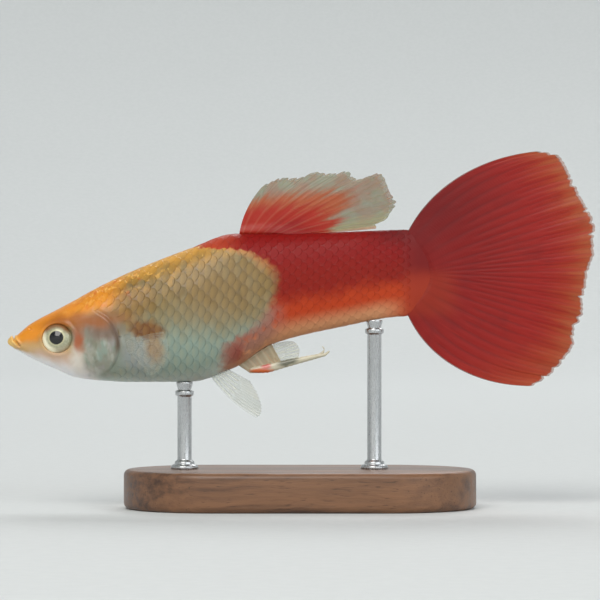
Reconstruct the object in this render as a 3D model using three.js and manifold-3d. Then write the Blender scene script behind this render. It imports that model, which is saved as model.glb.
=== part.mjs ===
// A life-size male fancy guppy, held over a small plinth by two rods as a museum shows one.
// Millimetres, +Z up. The snout points to -X and the fish's left side faces -Y.
// The origin is the middle of the plinth's underside.
import * as THREE from "three";
import { mergeVertices } from "three/addons/utils/BufferGeometryUtils.js";
import Module from "manifold-3d";

const wasm = await Module();
wasm.setup();

// Driving dimensions
const GAP = 0.3;
const CURVE_ALLOWANCE = 0.04;
const SNOUT_X = -22.42;
const SNOUT_Z = 12.76;
const BODY_LENGTH = 33.4;

// The body from the side and from above: distance behind the snout tip, heights of the back and the
// belly over the snout tip, and half the width there. The fish hangs a little head down.
const STATIONS = [
  { x: 0.0, top: 0.3, bottom: -0.3, half: 0.42 },
  { x: 0.31, top: 0.37, bottom: -0.38, half: 0.56 },
  { x: 0.61, top: 0.4, bottom: -0.61, half: 0.7 },
  { x: 0.92, top: 0.65, bottom: -0.75, half: 0.84 },
  { x: 1.69, top: 1.3, bottom: -1.19, half: 1.2 },
  { x: 3.99, top: 2.55, bottom: -2.22, half: 1.98 },
  { x: 5.21, top: 3.2, bottom: -2.72, half: 2.3 },
  { x: 7.05, top: 4.2, bottom: -2.97, half: 2.62 },
  { x: 9.35, top: 5.3, bottom: -3.08, half: 2.82 },
  { x: 13.95, top: 7.12, bottom: -3.07, half: 2.86 },
  { x: 17.48, top: 8.27, bottom: -1.95, half: 2.38 },
  { x: 20.09, top: 8.24, bottom: -0.25, half: 1.95 },
  { x: 25.45, top: 8.39, bottom: 1.11, half: 1.52 },
  { x: 30.43, top: 8.58, bottom: 1.94, half: 1.08 },
  { x: 31.9, top: 8.6, bottom: 1.95, half: 0.74 },
  { x: 33.4, top: 8.6, bottom: 1.95, half: 0.4 },
];
const SNOUT_ROUND = 0.32;
const HEAD_SQUARE = 2.5;
const BODY_SQUARE = 2.15;
const RINGS = 58;
const RING_SIDES = 40;
const RING_EASE = 0.55;
const RING_CROWDING = 0.28;

// The rounded end of the tail stalk, where the tail fin's rays start
const TAIL_HUB = { x: 30.05, z: 5.27 };
const HUB_RADIUS = 3.35;
const HUB_TAPER = 0.35;

// The gill cover's free edge is an arc, and the head ends along it
const GILL_HUB = { x: 5.95, z: -0.25 };
const GILL_RADIUS = 2.65;
const GILL_FLARE = 0.2;
const GILL_RAMP = 2.6;
const GILL_STEP = 0.12;
const GILL_ROUND = 0.7;
const GILL_LOW_ANGLE = -1.15;
const THROAT_X = 6.85;
const NAPE_X = 7.75;
const NAPE_STEP = 0.35;
const STALK_CUT_X = 22.6;

// Head parts
const EYE = { x: 3.82, y: 1.45, z: 0.26, radius: 1.15, half: 0.76, yaw: 13, roll: 5 };
const SOCKET_GAP = 0.22;
const MOUTH = [
  [0.42, 0.6],
  [0.58, 0.12],
  [0.98, -0.28],
];
const MOUTH_SLOT = { front: 0.072, taper: 0.042, width: 3 };
const LIP_RADIUS = 0.15;
const LOWER_LIP = { front: [0.27, 0.08], corner: [0.86, 0.6, -0.3] };
const UPPER_LIP = { front: [0.74, 0.36], corner: [1.02, 0.66, -0.12] };
const LIP_BEND = { back: 0.3, down: 0.35, wide: 0.78 };
const NOSTRIL = { x: 1.8, y: 0.78, z: 0.95, radius: 0.14, depth: 0.3 };

const mix = THREE.MathUtils.lerp;
const ramp = (x, a, b) => THREE.MathUtils.smoothstep(x, a, b);
const RAD = THREE.MathUtils.DEG2RAD;

// How far the blocks that cut the fish run, well clear of it
const REACH = { down: 12, up: 14, front: -3, rear: 40, width: 14 };

// A small steady hash, so that the fins' edges are ragged the same way every time
function jitter(i, seed) {
  const s = Math.sin(i * 127.1 + seed * 311.7) * 43758.5453;
  return 2 * (s - Math.floor(s)) - 1;
}

// A smooth value between stations, with no overshoot
function along(key, x) {
  const n = STATIONS.length;
  let i = 0;
  while (i < n - 2 && x > STATIONS[i + 1].x) i += 1;
  const slope = (k) => (STATIONS[k + 1][key] - STATIONS[k][key]) / (STATIONS[k + 1].x - STATIONS[k].x);
  const tangent = (k) => {
    if (k === 0) return slope(0);
    if (k === n - 1) return slope(n - 2);
    const [a, b] = [slope(k - 1), slope(k)];
    return a * b <= 0 ? 0 : (2 * a * b) / (a + b);
  };
  const span = STATIONS[i + 1].x - STATIONS[i].x;
  const t = THREE.MathUtils.clamp((x - STATIONS[i].x) / span, 0, 1);
  const [a, b] = [STATIONS[i][key], STATIONS[i + 1][key]];
  const [ma, mb] = [tangent(i) * span, tangent(i + 1) * span];
  return (
    a * (2 * t ** 3 - 3 * t ** 2 + 1) +
    ma * (t ** 3 - 2 * t ** 2 + t) +
    b * (3 * t ** 2 - 2 * t ** 3) +
    mb * (t ** 3 - t ** 2)
  );
}

// How far the gill cover stands off the head at a point seen from the side
function gillFlare(x, z) {
  const reach = Math.hypot(x - GILL_HUB.x, z - GILL_HUB.z) / GILL_RADIUS;
  const back = x - (GILL_HUB.x + GILL_RADIUS - GILL_RAMP);
  const inside = 1 - ramp(reach, 1, 1 + GILL_STEP);
  return GILL_FLARE * ramp(back / GILL_RAMP, 0, 1) * inside;
}

// A point of the body's skin: x behind the snout, angle round the body from the left side over the back
function bodyPoint(x, angle, flared) {
  const bend = Math.min(1, x / SNOUT_ROUND);
  let round = Math.sqrt(1 - (1 - bend) ** 2);
  let [top, bottom] = [along("top", x), along("bottom", x)];
  if (x > TAIL_HUB.x) {
    const half = Math.sqrt(Math.max(0, HUB_RADIUS ** 2 - (x - TAIL_HUB.x) ** 2));
    top = Math.min(top, TAIL_HUB.z + half);
    bottom = Math.max(bottom, TAIL_HUB.z - half);
    round = Math.min(1, half / (HUB_TAPER * HUB_RADIUS));
  }
  const middle = (top + bottom) / 2;
  const square = mix(HEAD_SQUARE, BODY_SQUARE, ramp(x, 4, 10));
  const [c, s] = [Math.cos(angle), Math.sin(angle)];
  const height = x > TAIL_HUB.x ? 1 : round;
  const z = middle + (s > 0 ? top - middle : middle - bottom) * height * Math.sign(s) * Math.abs(s) ** (2 / square);
  const wide = along("half", x) * round * Math.abs(c) ** (2 / square);
  const flare = flared ? gillFlare(x, z) * Math.abs(c) ** GILL_ROUND : 0;
  return new THREE.Vector3(x, -Math.sign(c) * (wide + flare), z);
}

// Solids: three.js shapes go in and out of manifold-3d, which joins and cuts them
function solid(geometry) {
  const bare = geometry.clone();
  bare.deleteAttribute("normal");
  bare.deleteAttribute("uv");
  const merged = mergeVertices(bare, 1e-4);
  const { array } = merged.index;
  const kept = [];
  for (let i = 0; i < array.length; i += 3) {
    const [a, b, c] = [array[i], array[i + 1], array[i + 2]];
    if (a !== b && b !== c && a !== c) kept.push(a, b, c);
  }
  return new wasm.Manifold(
    new wasm.Mesh({
      numProp: 3,
      vertProperties: merged.attributes.position.array,
      triVerts: new Uint32Array(kept),
    }),
  );
}

// The largest closed surface of a solid, as a geometry
function geometryOf(made) {
  const bodies = made.decompose().sort((a, b) => b.volume() - a.volume());
  const mesh = bodies[0].getMesh();
  const points = new Float32Array(mesh.numVert * 3);
  for (let i = 0; i < mesh.numVert; i += 1) {
    points.set(mesh.vertProperties.subarray(i * mesh.numProp, i * mesh.numProp + 3), i * 3);
  }
  const out = new THREE.BufferGeometry();
  out.setAttribute("position", new THREE.BufferAttribute(points, 3));
  out.setIndex(new THREE.BufferAttribute(mesh.triVerts, 1));
  out.computeVertexNormals();
  return out;
}

// A closed loft of the whole body, with poles at the snout and at the end of the stalk
function bodySolid(flared) {
  const points = [];
  const faces = [];
  for (let i = 0; i <= RINGS; i += 1) {
    const t = i / RINGS;
    const forward = RING_CROWDING * Math.sin(Math.PI * t) ** 2 * (1 - t);
    const x = BODY_LENGTH * (mix(t, ramp(t, 0, 1), RING_EASE) - forward);
    for (let j = 0; j < RING_SIDES; j += 1) {
      const p = bodyPoint(x, (2 * Math.PI * j) / RING_SIDES, flared);
      points.push(p.x, p.y, p.z);
    }
  }
  const at = (i, j) => i * RING_SIDES + (j % RING_SIDES);
  for (let i = 0; i < RINGS; i += 1) {
    for (let j = 0; j < RING_SIDES; j += 1) {
      faces.push(at(i, j), at(i, j + 1), at(i + 1, j));
      faces.push(at(i + 1, j), at(i, j + 1), at(i + 1, j + 1));
    }
  }
  const loft = new THREE.BufferGeometry();
  loft.setAttribute("position", new THREE.Float32BufferAttribute(points, 3));
  loft.setIndex(faces);
  const made = solid(loft);
  return made.volume() > 0 ? made : solid(loft.setIndex(faces.reverse()));
}

// A cutter that runs through the fish from side to side, from an outline drawn in the side view
function prism(shape, width) {
  const block = new THREE.ExtrudeGeometry(shape, { depth: width, bevelEnabled: false, curveSegments: 14 });
  block.translate(0, 0, -width / 2);
  block.rotateX(Math.PI / 2);
  return solid(block);
}

// Everything in front of the gill opening, moved back by grow
function headRegion(grow) {
  const radius = GILL_RADIUS + grow;
  const topX = NAPE_X + grow;
  const start = Math.acos((topX - NAPE_STEP - GILL_HUB.x) / radius);
  const low = [Math.cos(GILL_LOW_ANGLE), Math.sin(GILL_LOW_ANGLE)];
  const shape = new THREE.Shape();
  shape.moveTo(REACH.front, -REACH.down);
  shape.lineTo(THROAT_X + grow, -REACH.down);
  shape.lineTo(GILL_HUB.x + radius * low[0], GILL_HUB.z + radius * low[1]);
  shape.absarc(GILL_HUB.x, GILL_HUB.z, radius, GILL_LOW_ANGLE, start, false);
  shape.lineTo(topX, REACH.up);
  shape.lineTo(REACH.front, REACH.up);
  shape.closePath();
  return prism(shape, REACH.width);
}

// An eyeball or its socket: a flattened ball with its pole outwards, turned a little forwards and up
function eyeBall(side, grow, segments) {
  const { x, y, z, radius, half, yaw, roll } = EYE;
  const ball = new THREE.SphereGeometry(radius + grow, segments, Math.round(segments * 0.6));
  ball.scale(1, (half + grow) / (radius + grow), 1);
  if (side < 0) ball.rotateX(Math.PI);
  ball.rotateX(side * roll * RAD);
  ball.rotateZ(side * yaw * RAD);
  ball.translate(x, side * y, z);
  return ball;
}

function nostrilPit(side) {
  const { x, y, z, radius, depth } = NOSTRIL;
  const pit = new THREE.SphereGeometry(radius, 8, 6);
  pit.scale(1, depth / radius, 1);
  pit.translate(x, side * y, z);
  return pit;
}

// A roll of flesh round the mouth: a tube from one corner, round the front, to the other
function lip({ front, corner }) {
  const [x, y, z] = corner;
  const bend = [mix(front[0], x, LIP_BEND.back), LIP_BEND.wide * y, mix(front[1], z, LIP_BEND.down)];
  const path = new THREE.CatmullRomCurve3([
    new THREE.Vector3(x, -y, z),
    new THREE.Vector3(bend[0], -bend[1], bend[2]),
    new THREE.Vector3(front[0], 0, front[1]),
    new THREE.Vector3(bend[0], bend[1], bend[2]),
    new THREE.Vector3(x, y, z),
  ]);
  const section = new THREE.Shape();
  section.absarc(0, 0, LIP_RADIUS, 0, 2 * Math.PI, false);
  return solid(new THREE.ExtrudeGeometry(section, { steps: 12, curveSegments: 6, extrudePath: path }));
}

// The slot between the lips, which narrows towards the corner of the mouth
function mouthSlot() {
  const line = new THREE.CatmullRomCurve3(MOUTH.map(([x, z]) => new THREE.Vector3(x, z, 0))).getPoints(5);
  const shape = new THREE.Shape();
  const half = (i) => MOUTH_SLOT.front - (MOUTH_SLOT.taper * i) / line.length;
  line.forEach((p, i) => shape[i ? "lineTo" : "moveTo"](p.x - half(i), p.y - half(i)));
  [...line].reverse().forEach((p, i) => {
    const k = line.length - 1 - i;
    shape.lineTo(p.x + half(k), p.y + half(k));
  });
  shape.closePath();
  return prism(shape, MOUTH_SLOT.width);
}

function headSolid() {
  let made = bodySolid(true).intersect(headRegion(0)).add(lip(LOWER_LIP)).add(lip(UPPER_LIP));
  made = made.subtract(mouthSlot());
  for (const side of [-1, 1]) {
    made = made.subtract(solid(eyeBall(side, SOCKET_GAP, 20)));
    made = made.subtract(solid(nostrilPit(side)));
  }
  return made;
}

function slice(from, to) {
  const shape = new THREE.Shape();
  shape.moveTo(from, -REACH.down);
  shape.lineTo(to, -REACH.down);
  shape.lineTo(to, REACH.up);
  shape.lineTo(from, REACH.up);
  shape.closePath();
  return prism(shape, REACH.width);
}

// Fins

// A fin is a sheet of rays: column i runs from the root to the margin, and both faces are split alike.
// place(u, v) gives the middle of the sheet, normal(u, v) its direction across, half(u, v) half its thickness.
function finGeometry(columns, rows, place, normal, half) {
  const points = [];
  const faces = [];
  for (const side of [-1, 1]) {
    for (let j = 0; j <= rows; j += 1) {
      for (let i = 0; i <= columns; i += 1) {
        const [u, v] = [i / columns, j / rows];
        const p = place(u, v).addScaledVector(normal(u, v), side * half(u, v));
        points.push(p.x, p.y, p.z);
      }
    }
  }
  const count = (columns + 1) * (rows + 1);
  const at = (face, i, j) => face * count + j * (columns + 1) + i;
  for (let j = 0; j < rows; j += 1) {
    for (let i = 0; i < columns; i += 1) {
      for (const face of [0, 1]) {
        const [a, b, c, d] = [at(face, i, j), at(face, i + 1, j), at(face, i + 1, j + 1), at(face, i, j + 1)];
        if (face) faces.push(a, b, c, a, c, d);
        else faces.push(a, c, b, a, d, c);
      }
    }
  }
  const wall = (i0, j0, i1, j1) => {
    const [a, b, c, d] = [at(0, i0, j0), at(0, i1, j1), at(1, i1, j1), at(1, i0, j0)];
    faces.push(a, b, c, a, c, d);
  };
  for (let i = 0; i < columns; i += 1) {
    wall(i, 0, i + 1, 0);
    wall(i + 1, rows, i, rows);
  }
  for (let j = 0; j < rows; j += 1) {
    wall(0, j + 1, 0, j);
    wall(columns, j, columns, j + 1);
  }
  const sheet = new THREE.BufferGeometry();
  sheet.setAttribute("position", new THREE.Float32BufferAttribute(points, 3));
  sheet.setIndex(faces);
  const made = solid(sheet);
  return geometryOf(made.volume() > 0 ? made : solid(sheet.setIndex(faces.reverse())));
}

// Height of the ray ridges: one crest at the root, which forks into two past the fork
function ridge(u, v, rays, fork) {
  const t = (u * rays) % 1;
  const single = 1 - Math.abs(2 * t - 1);
  const double = 1 - Math.abs(2 * ((2 * t) % 1) - 1);
  return mix(single, double, ramp(v, fork, fork + 0.25));
}

// Half the thickness of a fin: membrane, ridges, and a finer edge
function finHalf(u, v, { rays, fork, membrane, crest, edge }) {
  const body = membrane + crest * ridge(u, v, rays, fork) * (1 - 0.6 * v);
  return mix(body, edge, ramp(v, 0.75, 1));
}

function bezier(a, b, c, t) {
  return a.clone().multiplyScalar((1 - t) ** 2).addScaledVector(b, 2 * t * (1 - t)).addScaledVector(c, t * t);
}

const ACROSS = new THREE.Vector3(0, 1, 0);

// The tail fin: a fan round the hub of the stalk
const TAIL = {
  rays: 15,
  columns: 60,
  rows: 11,
  fork: 0.3,
  membrane: 0.25,
  crest: 0.09,
  edge: 0.13,
  rootAngle: 80,
  tipAngle: 41,
  upperBow: 0.9,
  lowerBow: 1,
  rise: 0.12,
  sway: 0.35,
  waves: 7.5,
  phase: 1.2,
};
const TAIL_TEETH = { height: 0.12, uneven: 0.08 };

// How far the margin stands from the hub, at even angles from the upper corner to the lower one
const TAIL_REACH = [
  14.0, 15.0, 15.05, 15.08, 15.02, 15.25, 15.45, 15.05, 14.9, 14.4, 14.26, 14.2, 14.38, 14.15, 14.5, 14.4, 14.2,
  13.75, 12.95,
];
const tailReach = new THREE.SplineCurve(TAIL_REACH.map((reach, i) => new THREE.Vector2(i, reach)));

function tailMargin(u) {
  const even = TAIL_TEETH.height * (ridge(u, 1, TAIL.rays, TAIL.fork) - 0.5);
  return tailReach.getPoint(u).y + even + TAIL_TEETH.uneven * jitter(Math.round(u * TAIL.rays), 3);
}

function tailPlace(u, v) {
  const start = HUB_RADIUS + GAP;
  const spread = mix(TAIL.rootAngle, TAIL.tipAngle, v ** mix(TAIL.upperBow, TAIL.lowerBow, u));
  const angle = spread * (1 - 2 * u) * RAD;
  const reach = mix(start, tailMargin(u), v);
  const y = TAIL.sway * v * v * Math.sin(TAIL.waves * u + TAIL.phase);
  const z = TAIL_HUB.z + TAIL.rise * v + reach * Math.sin(angle);
  return new THREE.Vector3(TAIL_HUB.x + reach * Math.cos(angle), y, z);
}

// The dorsal fin: a swept flag over the back
const DORSAL = {
  rays: 8,
  columns: 32,
  rows: 9,
  fork: 0.45,
  membrane: 0.25,
  crest: 0.1,
  edge: 0.13,
  rootFrom: 17.75,
  rootTo: 21.6,
  frontLift: 82,
  rearLift: 7,
  lie: 0.8,
  bow: 0.5,
  sway: 0.3,
  waves: 6,
  phase: 0.6,
};
const DORSAL_TEETH = { height: 0.08, uneven: 0.07 };
const DORSAL_MARGIN = [
  [19.5, 11.85],
  [20.6, 12.4],
  [21.25, 12.6],
  [22.4, 12.58],
  [23.6, 12.95],
  [24.5, 12.84],
  [25.4, 12.92],
  [26.1, 13.05],
  [26.55, 12.5],
  [27.1, 12.44],
  [27.8, 12.72],
  [28.55, 12.86],
  [29.0, 12.25],
  [29.42, 11.35],
  [29.8, 10.62],
  [29.42, 10.02],
  [28.95, 9.5],
  [28.3, 9.06],
].map(([x, z]) => new THREE.Vector3(x, 0, z));
const dorsalMargin = new THREE.CatmullRomCurve3(DORSAL_MARGIN, false, "centripetal");

function dorsalPlace(u, v) {
  const x = mix(DORSAL.rootFrom, DORSAL.rootTo, u);
  const root = new THREE.Vector3(x, 0, along("top", x) + GAP + CURVE_ALLOWANCE);
  const even = DORSAL_TEETH.height * ridge(u, 1, DORSAL.rays, DORSAL.fork);
  const teeth = even + DORSAL_TEETH.uneven * jitter(Math.round(u * DORSAL.rays), 8);
  const tip = dorsalMargin.getPoint(u);
  tip.sub(root).multiplyScalar(1 + teeth / tip.length()).add(root);
  const lift = mix(DORSAL.frontLift, DORSAL.rearLift, u ** DORSAL.lie) * RAD;
  const reach = DORSAL.bow * tip.distanceTo(root);
  const bend = root.clone().add(new THREE.Vector3(Math.cos(lift) * reach, 0, Math.sin(lift) * reach));
  const p = bezier(root, bend, tip, v);
  p.y = DORSAL.sway * v * v * Math.sin(DORSAL.waves * u + DORSAL.phase);
  return p;
}

// The gonopodium, the male's anal fin: a short web under the vent, a long rod that ends in a small hook,
// and a soft lobe behind them
const ROD_PATH = [
  [18.7, -2.12],
  [19.9, -2.0],
  [21.6, -1.6],
  [23.4, -1.2],
  [24.72, -0.9],
].map(([x, z]) => new THREE.Vector3(x, 0, z));
const ROD_HALF = [0.3, 0.42, 0.3, 0.22, 0.13];
const ROD_WIDE = 0.3;
const HOOK = { x: 24.55, z: -0.72, radius: 0.16, length: 1.9, lean: -50 };
const THIN = { columns: 8, rows: 5, fork: 2, membrane: 0.25, crest: 0.08, edge: 0.14 };
const WEB = {
  ...THIN,
  rays: 4,
  root: [[17.75, -2.15], [19.9, -0.72]],
  margin: [[18.6, -2.42], [20.0, -2.25], [21.0, -1.55]],
};
const LOBE = {
  ...THIN,
  rays: 4,
  root: [[19.9, -1.6], [20.1, -0.66]],
  margin: [[22.3, -1.3], [22.35, -0.5], [21.9, -0.12], [21.3, -0.2]],
};

const sidePoint = ([x, z]) => new THREE.Vector3(x, 0, z);

// A flat sheet of rays in the fish's middle plane
function middleSheet(fin) {
  const [first, last] = fin.root.map(sidePoint);
  const margin = new THREE.CatmullRomCurve3(fin.margin.map(sidePoint), false, "centripetal");
  const place = (u, v) => first.clone().lerp(last, u).lerp(margin.getPoint(u), v);
  return finGeometry(fin.columns, fin.rows, place, () => ACROSS, (u, v) => finHalf(u, v, fin));
}

function analSolid() {
  const path = new THREE.CatmullRomCurve3(ROD_PATH);
  const steps = 14;
  const sides = 8;
  const points = [];
  const faces = [];
  for (let j = 0; j <= steps; j += 1) {
    const middle = path.getPoint(j / steps);
    const k = (j / steps) * (ROD_HALF.length - 1);
    const i = Math.min(ROD_HALF.length - 2, Math.floor(k));
    const half = mix(ROD_HALF[i], ROD_HALF[i + 1], k - i);
    for (let s = 0; s < sides; s += 1) {
      const turn = (2 * Math.PI * s) / sides;
      points.push(middle.x, Math.min(half, ROD_WIDE) * Math.cos(turn), middle.z + half * Math.sin(turn));
    }
  }
  for (let j = 0; j < steps; j += 1) {
    for (let i = 0; i < sides; i += 1) {
      const [a, b] = [j * sides + i, j * sides + ((i + 1) % sides)];
      faces.push(a, b, b + sides, a, b + sides, a + sides);
    }
  }
  for (let i = 1; i < sides - 1; i += 1) {
    faces.push(0, i + 1, i);
    faces.push(steps * sides, steps * sides + i, steps * sides + i + 1);
  }
  const tube = new THREE.BufferGeometry();
  tube.setAttribute("position", new THREE.Float32BufferAttribute(points, 3));
  tube.setIndex(faces);
  let made = solid(tube);
  if (made.volume() < 0) made = solid(tube.setIndex(faces.reverse()));
  const hook = new THREE.SphereGeometry(HOOK.radius, 8, 6);
  hook.scale(HOOK.length, 0.8, 0.8);
  hook.rotateY(HOOK.lean * RAD);
  hook.translate(HOOK.x, 0, HOOK.z);
  return made.add(solid(middleSheet(WEB))).add(solid(middleSheet(LOBE))).add(solid(hook));
}

// The paired fins: root and margin as they stand on the right side, with the front ray first
const PECTORAL = {
  root: [[9.22, 3.3, 0.2], [9.4, 3.28, -0.66]],
  margin: [[12.1, 5.35, 0.85], [12.55, 5.6, -0.1], [12.45, 5.5, -1.1], [11.95, 5.2, -1.95], [11.2, 4.75, -2.5]],
  bow: [-0.15, 0.3, 0],
  rays: 10,
  columns: 20,
  rows: 6,
  fork: 2,
  membrane: 0.25,
  crest: 0.08,
  edge: 0.14,
};
const PELVIC = {
  root: [[15.65, 0.62, -3.0], [17.05, 0.62, -2.56]],
  margin: [[19.4, 1.85, -5.8], [19.3, 1.7, -5.0], [18.95, 1.5, -4.0], [18.5, 1.25, -3.0]],
  bow: [-0.55, 0.05, -0.3],
  rays: 6,
  columns: 12,
  rows: 6,
  fork: 2,
  membrane: 0.25,
  crest: 0.08,
  edge: 0.14,
};
const STEP = 0.01;

function pairedFin(fin, side) {
  const [first, last] = fin.root.map((p) => new THREE.Vector3(...p));
  const margin = new THREE.CatmullRomCurve3(fin.margin.map((p) => new THREE.Vector3(...p)), false, "centripetal");
  const place = (u, v) => {
    const root = first.clone().lerp(last, u);
    const tip = margin.getPoint(u);
    const bend = root.clone().lerp(tip, 0.5).addScaledVector(new THREE.Vector3(...fin.bow), 1 - u);
    const p = bezier(root, bend, tip, v);
    return p.set(p.x, side * p.y, p.z);
  };
  const normal = (u, v) => {
    const [u0, u1] = [Math.max(0, u - STEP), Math.min(1, u + STEP)];
    const [v0, v1] = [Math.max(0, v - STEP), Math.min(1, v + STEP)];
    const alongU = place(u1, v).sub(place(u0, v));
    return alongU.cross(place(u, v1).sub(place(u, v0))).normalize();
  };
  return finGeometry(fin.columns, fin.rows, place, normal, (u, v) => finHalf(u, v, fin));
}

// The stand
const PLINTH = { length: 27, width: 14, height: 3, bevel: 0.45 };
const ROD_RADIUS = 0.6;
const ROD_FOOT = { radius: 1.05, height: 0.35, taper: 0.7 };
const ROD_TIP = { chamfer: 0.15, clear: 0.12 };
const FRONT_ROD_X = -8.85;
const REAR_ROD_X = 5.7;

function plinthGeometry() {
  const { length, width, height, bevel } = PLINTH;
  const radius = width / 2 - bevel;
  const reach = length / 2 - bevel - radius;
  const shape = new THREE.Shape();
  shape.absarc(reach, 0, radius, -Math.PI / 2, Math.PI / 2, false);
  shape.absarc(-reach, 0, radius, Math.PI / 2, (3 * Math.PI) / 2, false);
  shape.closePath();
  const block = new THREE.ExtrudeGeometry(shape, {
    depth: height - 2 * bevel,
    bevelThickness: bevel,
    bevelSize: bevel,
    bevelSegments: 2,
    curveSegments: 16,
  });
  block.translate(0, 0, bevel);
  return geometryOf(solid(block));
}

function rodGeometry(x) {
  const top = SNOUT_Z + along("bottom", x - SNOUT_X) - GAP - ROD_TIP.clear;
  const profile = [
    [0, PLINTH.height],
    [ROD_FOOT.radius, PLINTH.height],
    [ROD_FOOT.radius, PLINTH.height + ROD_FOOT.height],
    [ROD_RADIUS, PLINTH.height + ROD_FOOT.taper],
    [ROD_RADIUS, top - ROD_TIP.chamfer],
    [ROD_RADIUS - ROD_TIP.chamfer, top],
    [0, top],
  ].map(([r, z]) => new THREE.Vector2(r, z));
  const lathe = new THREE.LatheGeometry(profile, 14);
  lathe.rotateX(Math.PI / 2);
  lathe.translate(x, 0, 0);
  return geometryOf(solid(lathe));
}

// Finishes, from the photograph
const finish = (color, roughness, metalness = 0) => new THREE.MeshStandardMaterial({ color, roughness, metalness });
const GOLD_SKIN = finish(0xd9a050, 0.35);
const RED_SKIN = finish(0xa82a22, 0.35);
const CLEAR_FIN = finish(0xc9cfc2, 0.3);
const RED_FIN = finish(0xa8211f, 0.4);
const EYE_SILVER = finish(0xa9ad86, 0.15, 0.3);
const WALNUT = finish(0x4a3020, 0.5);
const STEEL = finish(0xa8aaac, 0.3, 1);

function node(name, geometry, material, parent) {
  const mesh = new THREE.Mesh(geometry, material);
  mesh.name = name;
  parent.add(mesh);
  return mesh;
}

const model = new THREE.Group();
const fish = new THREE.Group();
fish.position.set(SNOUT_X, 0, SNOUT_Z);
model.add(fish);

const plain = bodySolid(false);
const behindHead = plain.subtract(headRegion(GAP));
node("head", geometryOf(headSolid()), GOLD_SKIN, fish);
node("trunk", geometryOf(behindHead.intersect(slice(REACH.front, STALK_CUT_X - GAP / 2))), GOLD_SKIN, fish);
node("tail_stalk", geometryOf(plain.intersect(slice(STALK_CUT_X + GAP / 2, REACH.rear))), RED_SKIN, fish);

for (const [label, side] of [["left", -1], ["right", 1]]) {
  node("eye_" + label, geometryOf(solid(eyeBall(side, 0, 18))), EYE_SILVER, fish);
  node("pectoral_fin_" + label, pairedFin(PECTORAL, side), CLEAR_FIN, fish);
  node("pelvic_fin_" + label, pairedFin(PELVIC, side), CLEAR_FIN, fish);
}

const tailHalf = (u, v) => finHalf(u, v, TAIL);
const dorsalHalf = (u, v) => finHalf(u, v, DORSAL);
const tailSheet = finGeometry(TAIL.columns, TAIL.rows, tailPlace, () => ACROSS, tailHalf);
const dorsalSheet = finGeometry(DORSAL.columns, DORSAL.rows, dorsalPlace, () => ACROSS, dorsalHalf);
node("tail_fin", tailSheet, RED_FIN, fish);
node("dorsal_fin", dorsalSheet, RED_FIN, fish);
node("anal_fin", geometryOf(analSolid()), CLEAR_FIN, fish);

node("stand_plinth", plinthGeometry(), WALNUT, model);
node("stand_rod_front", rodGeometry(FRONT_ROD_X), STEEL, model);
node("stand_rod_rear", rodGeometry(REAR_ROD_X), STEEL, model);

export default model;
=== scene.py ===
"""The looks of a life-size male fancy guppy on its display stand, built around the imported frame.

Sizes are in millimetres in the fish's own measure, which runs tailwards (x) and upwards (z) from the
snout tip, and become metres in the frame. The snout points to -X and the left side faces -Y."""

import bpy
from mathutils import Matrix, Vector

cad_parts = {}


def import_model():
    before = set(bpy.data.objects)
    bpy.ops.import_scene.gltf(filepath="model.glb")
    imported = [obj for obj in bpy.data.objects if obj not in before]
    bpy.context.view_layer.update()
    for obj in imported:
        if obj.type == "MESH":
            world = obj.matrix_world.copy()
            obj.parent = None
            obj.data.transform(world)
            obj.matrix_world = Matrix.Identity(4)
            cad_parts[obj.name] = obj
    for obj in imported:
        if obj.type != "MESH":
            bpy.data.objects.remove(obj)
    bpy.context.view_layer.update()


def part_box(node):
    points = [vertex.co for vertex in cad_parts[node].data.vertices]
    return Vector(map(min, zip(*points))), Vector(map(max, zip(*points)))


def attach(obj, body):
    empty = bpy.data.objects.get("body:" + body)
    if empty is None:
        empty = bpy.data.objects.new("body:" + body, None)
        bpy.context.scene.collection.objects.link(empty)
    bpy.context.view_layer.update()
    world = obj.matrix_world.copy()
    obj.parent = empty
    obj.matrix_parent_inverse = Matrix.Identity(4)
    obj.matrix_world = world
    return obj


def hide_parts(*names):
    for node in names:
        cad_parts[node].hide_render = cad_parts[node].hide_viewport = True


bl_info = {
    "name": "Fancy guppy on a stand",
    "version": (1, 0, 0),
    "blender": (4, 5, 0),
    "location": "View3D > Sidebar > Guppy",
    "description": "Models a fancy guppy with its scales, fins and eyes, and the stand that holds it",
    "category": "Object",
}

import math

import bpy
import numpy as np

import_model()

MM = 0.001
SNOUT_X = -22.42
SNOUT_Z = 12.76
BODY_LENGTH = 33.4

# The body from the side and from above: distance behind the snout tip, back, belly and half width
STATIONS = np.array([
    (0.0, 0.3, -0.3, 0.42),
    (0.31, 0.37, -0.38, 0.56),
    (0.61, 0.4, -0.61, 0.7),
    (0.92, 0.65, -0.75, 0.84),
    (1.69, 1.3, -1.19, 1.2),
    (3.99, 2.55, -2.22, 1.98),
    (5.21, 3.2, -2.72, 2.3),
    (7.05, 4.2, -2.97, 2.62),
    (9.35, 5.3, -3.08, 2.82),
    (13.95, 7.12, -3.07, 2.86),
    (17.48, 8.27, -1.95, 2.38),
    (20.09, 8.24, -0.25, 1.95),
    (25.45, 8.39, 1.11, 1.52),
    (30.43, 8.58, 1.94, 1.08),
    (31.9, 8.6, 1.95, 0.74),
    (33.4, 8.6, 1.95, 0.4),
])
BACK, BELLY, WIDTH = 1, 2, 3
SNOUT_ROUND = 0.32
HEAD_SQUARE = 2.5
BODY_SQUARE = 2.15
TAIL_HUB = (30.05, 5.27)
HUB_RADIUS = 3.35
STALK_NARROWS = 26.5
STALK_END = 0.16
GILL_HUB = (5.95, -0.25)
GILL_RADIUS = 2.65
GILL_FLARE = 0.15
GILL_RAMP = 2.6
EYE_CENTRE = (3.96, 1.47, 0.27)
EYE_STRETCH = 1.07
EYE_RADIUS = 1.15
EYE_HALF = 0.76
EYE_YAW = 13
EYE_ROLL = 5
PUPIL_RADIUS = 0.5
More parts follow.
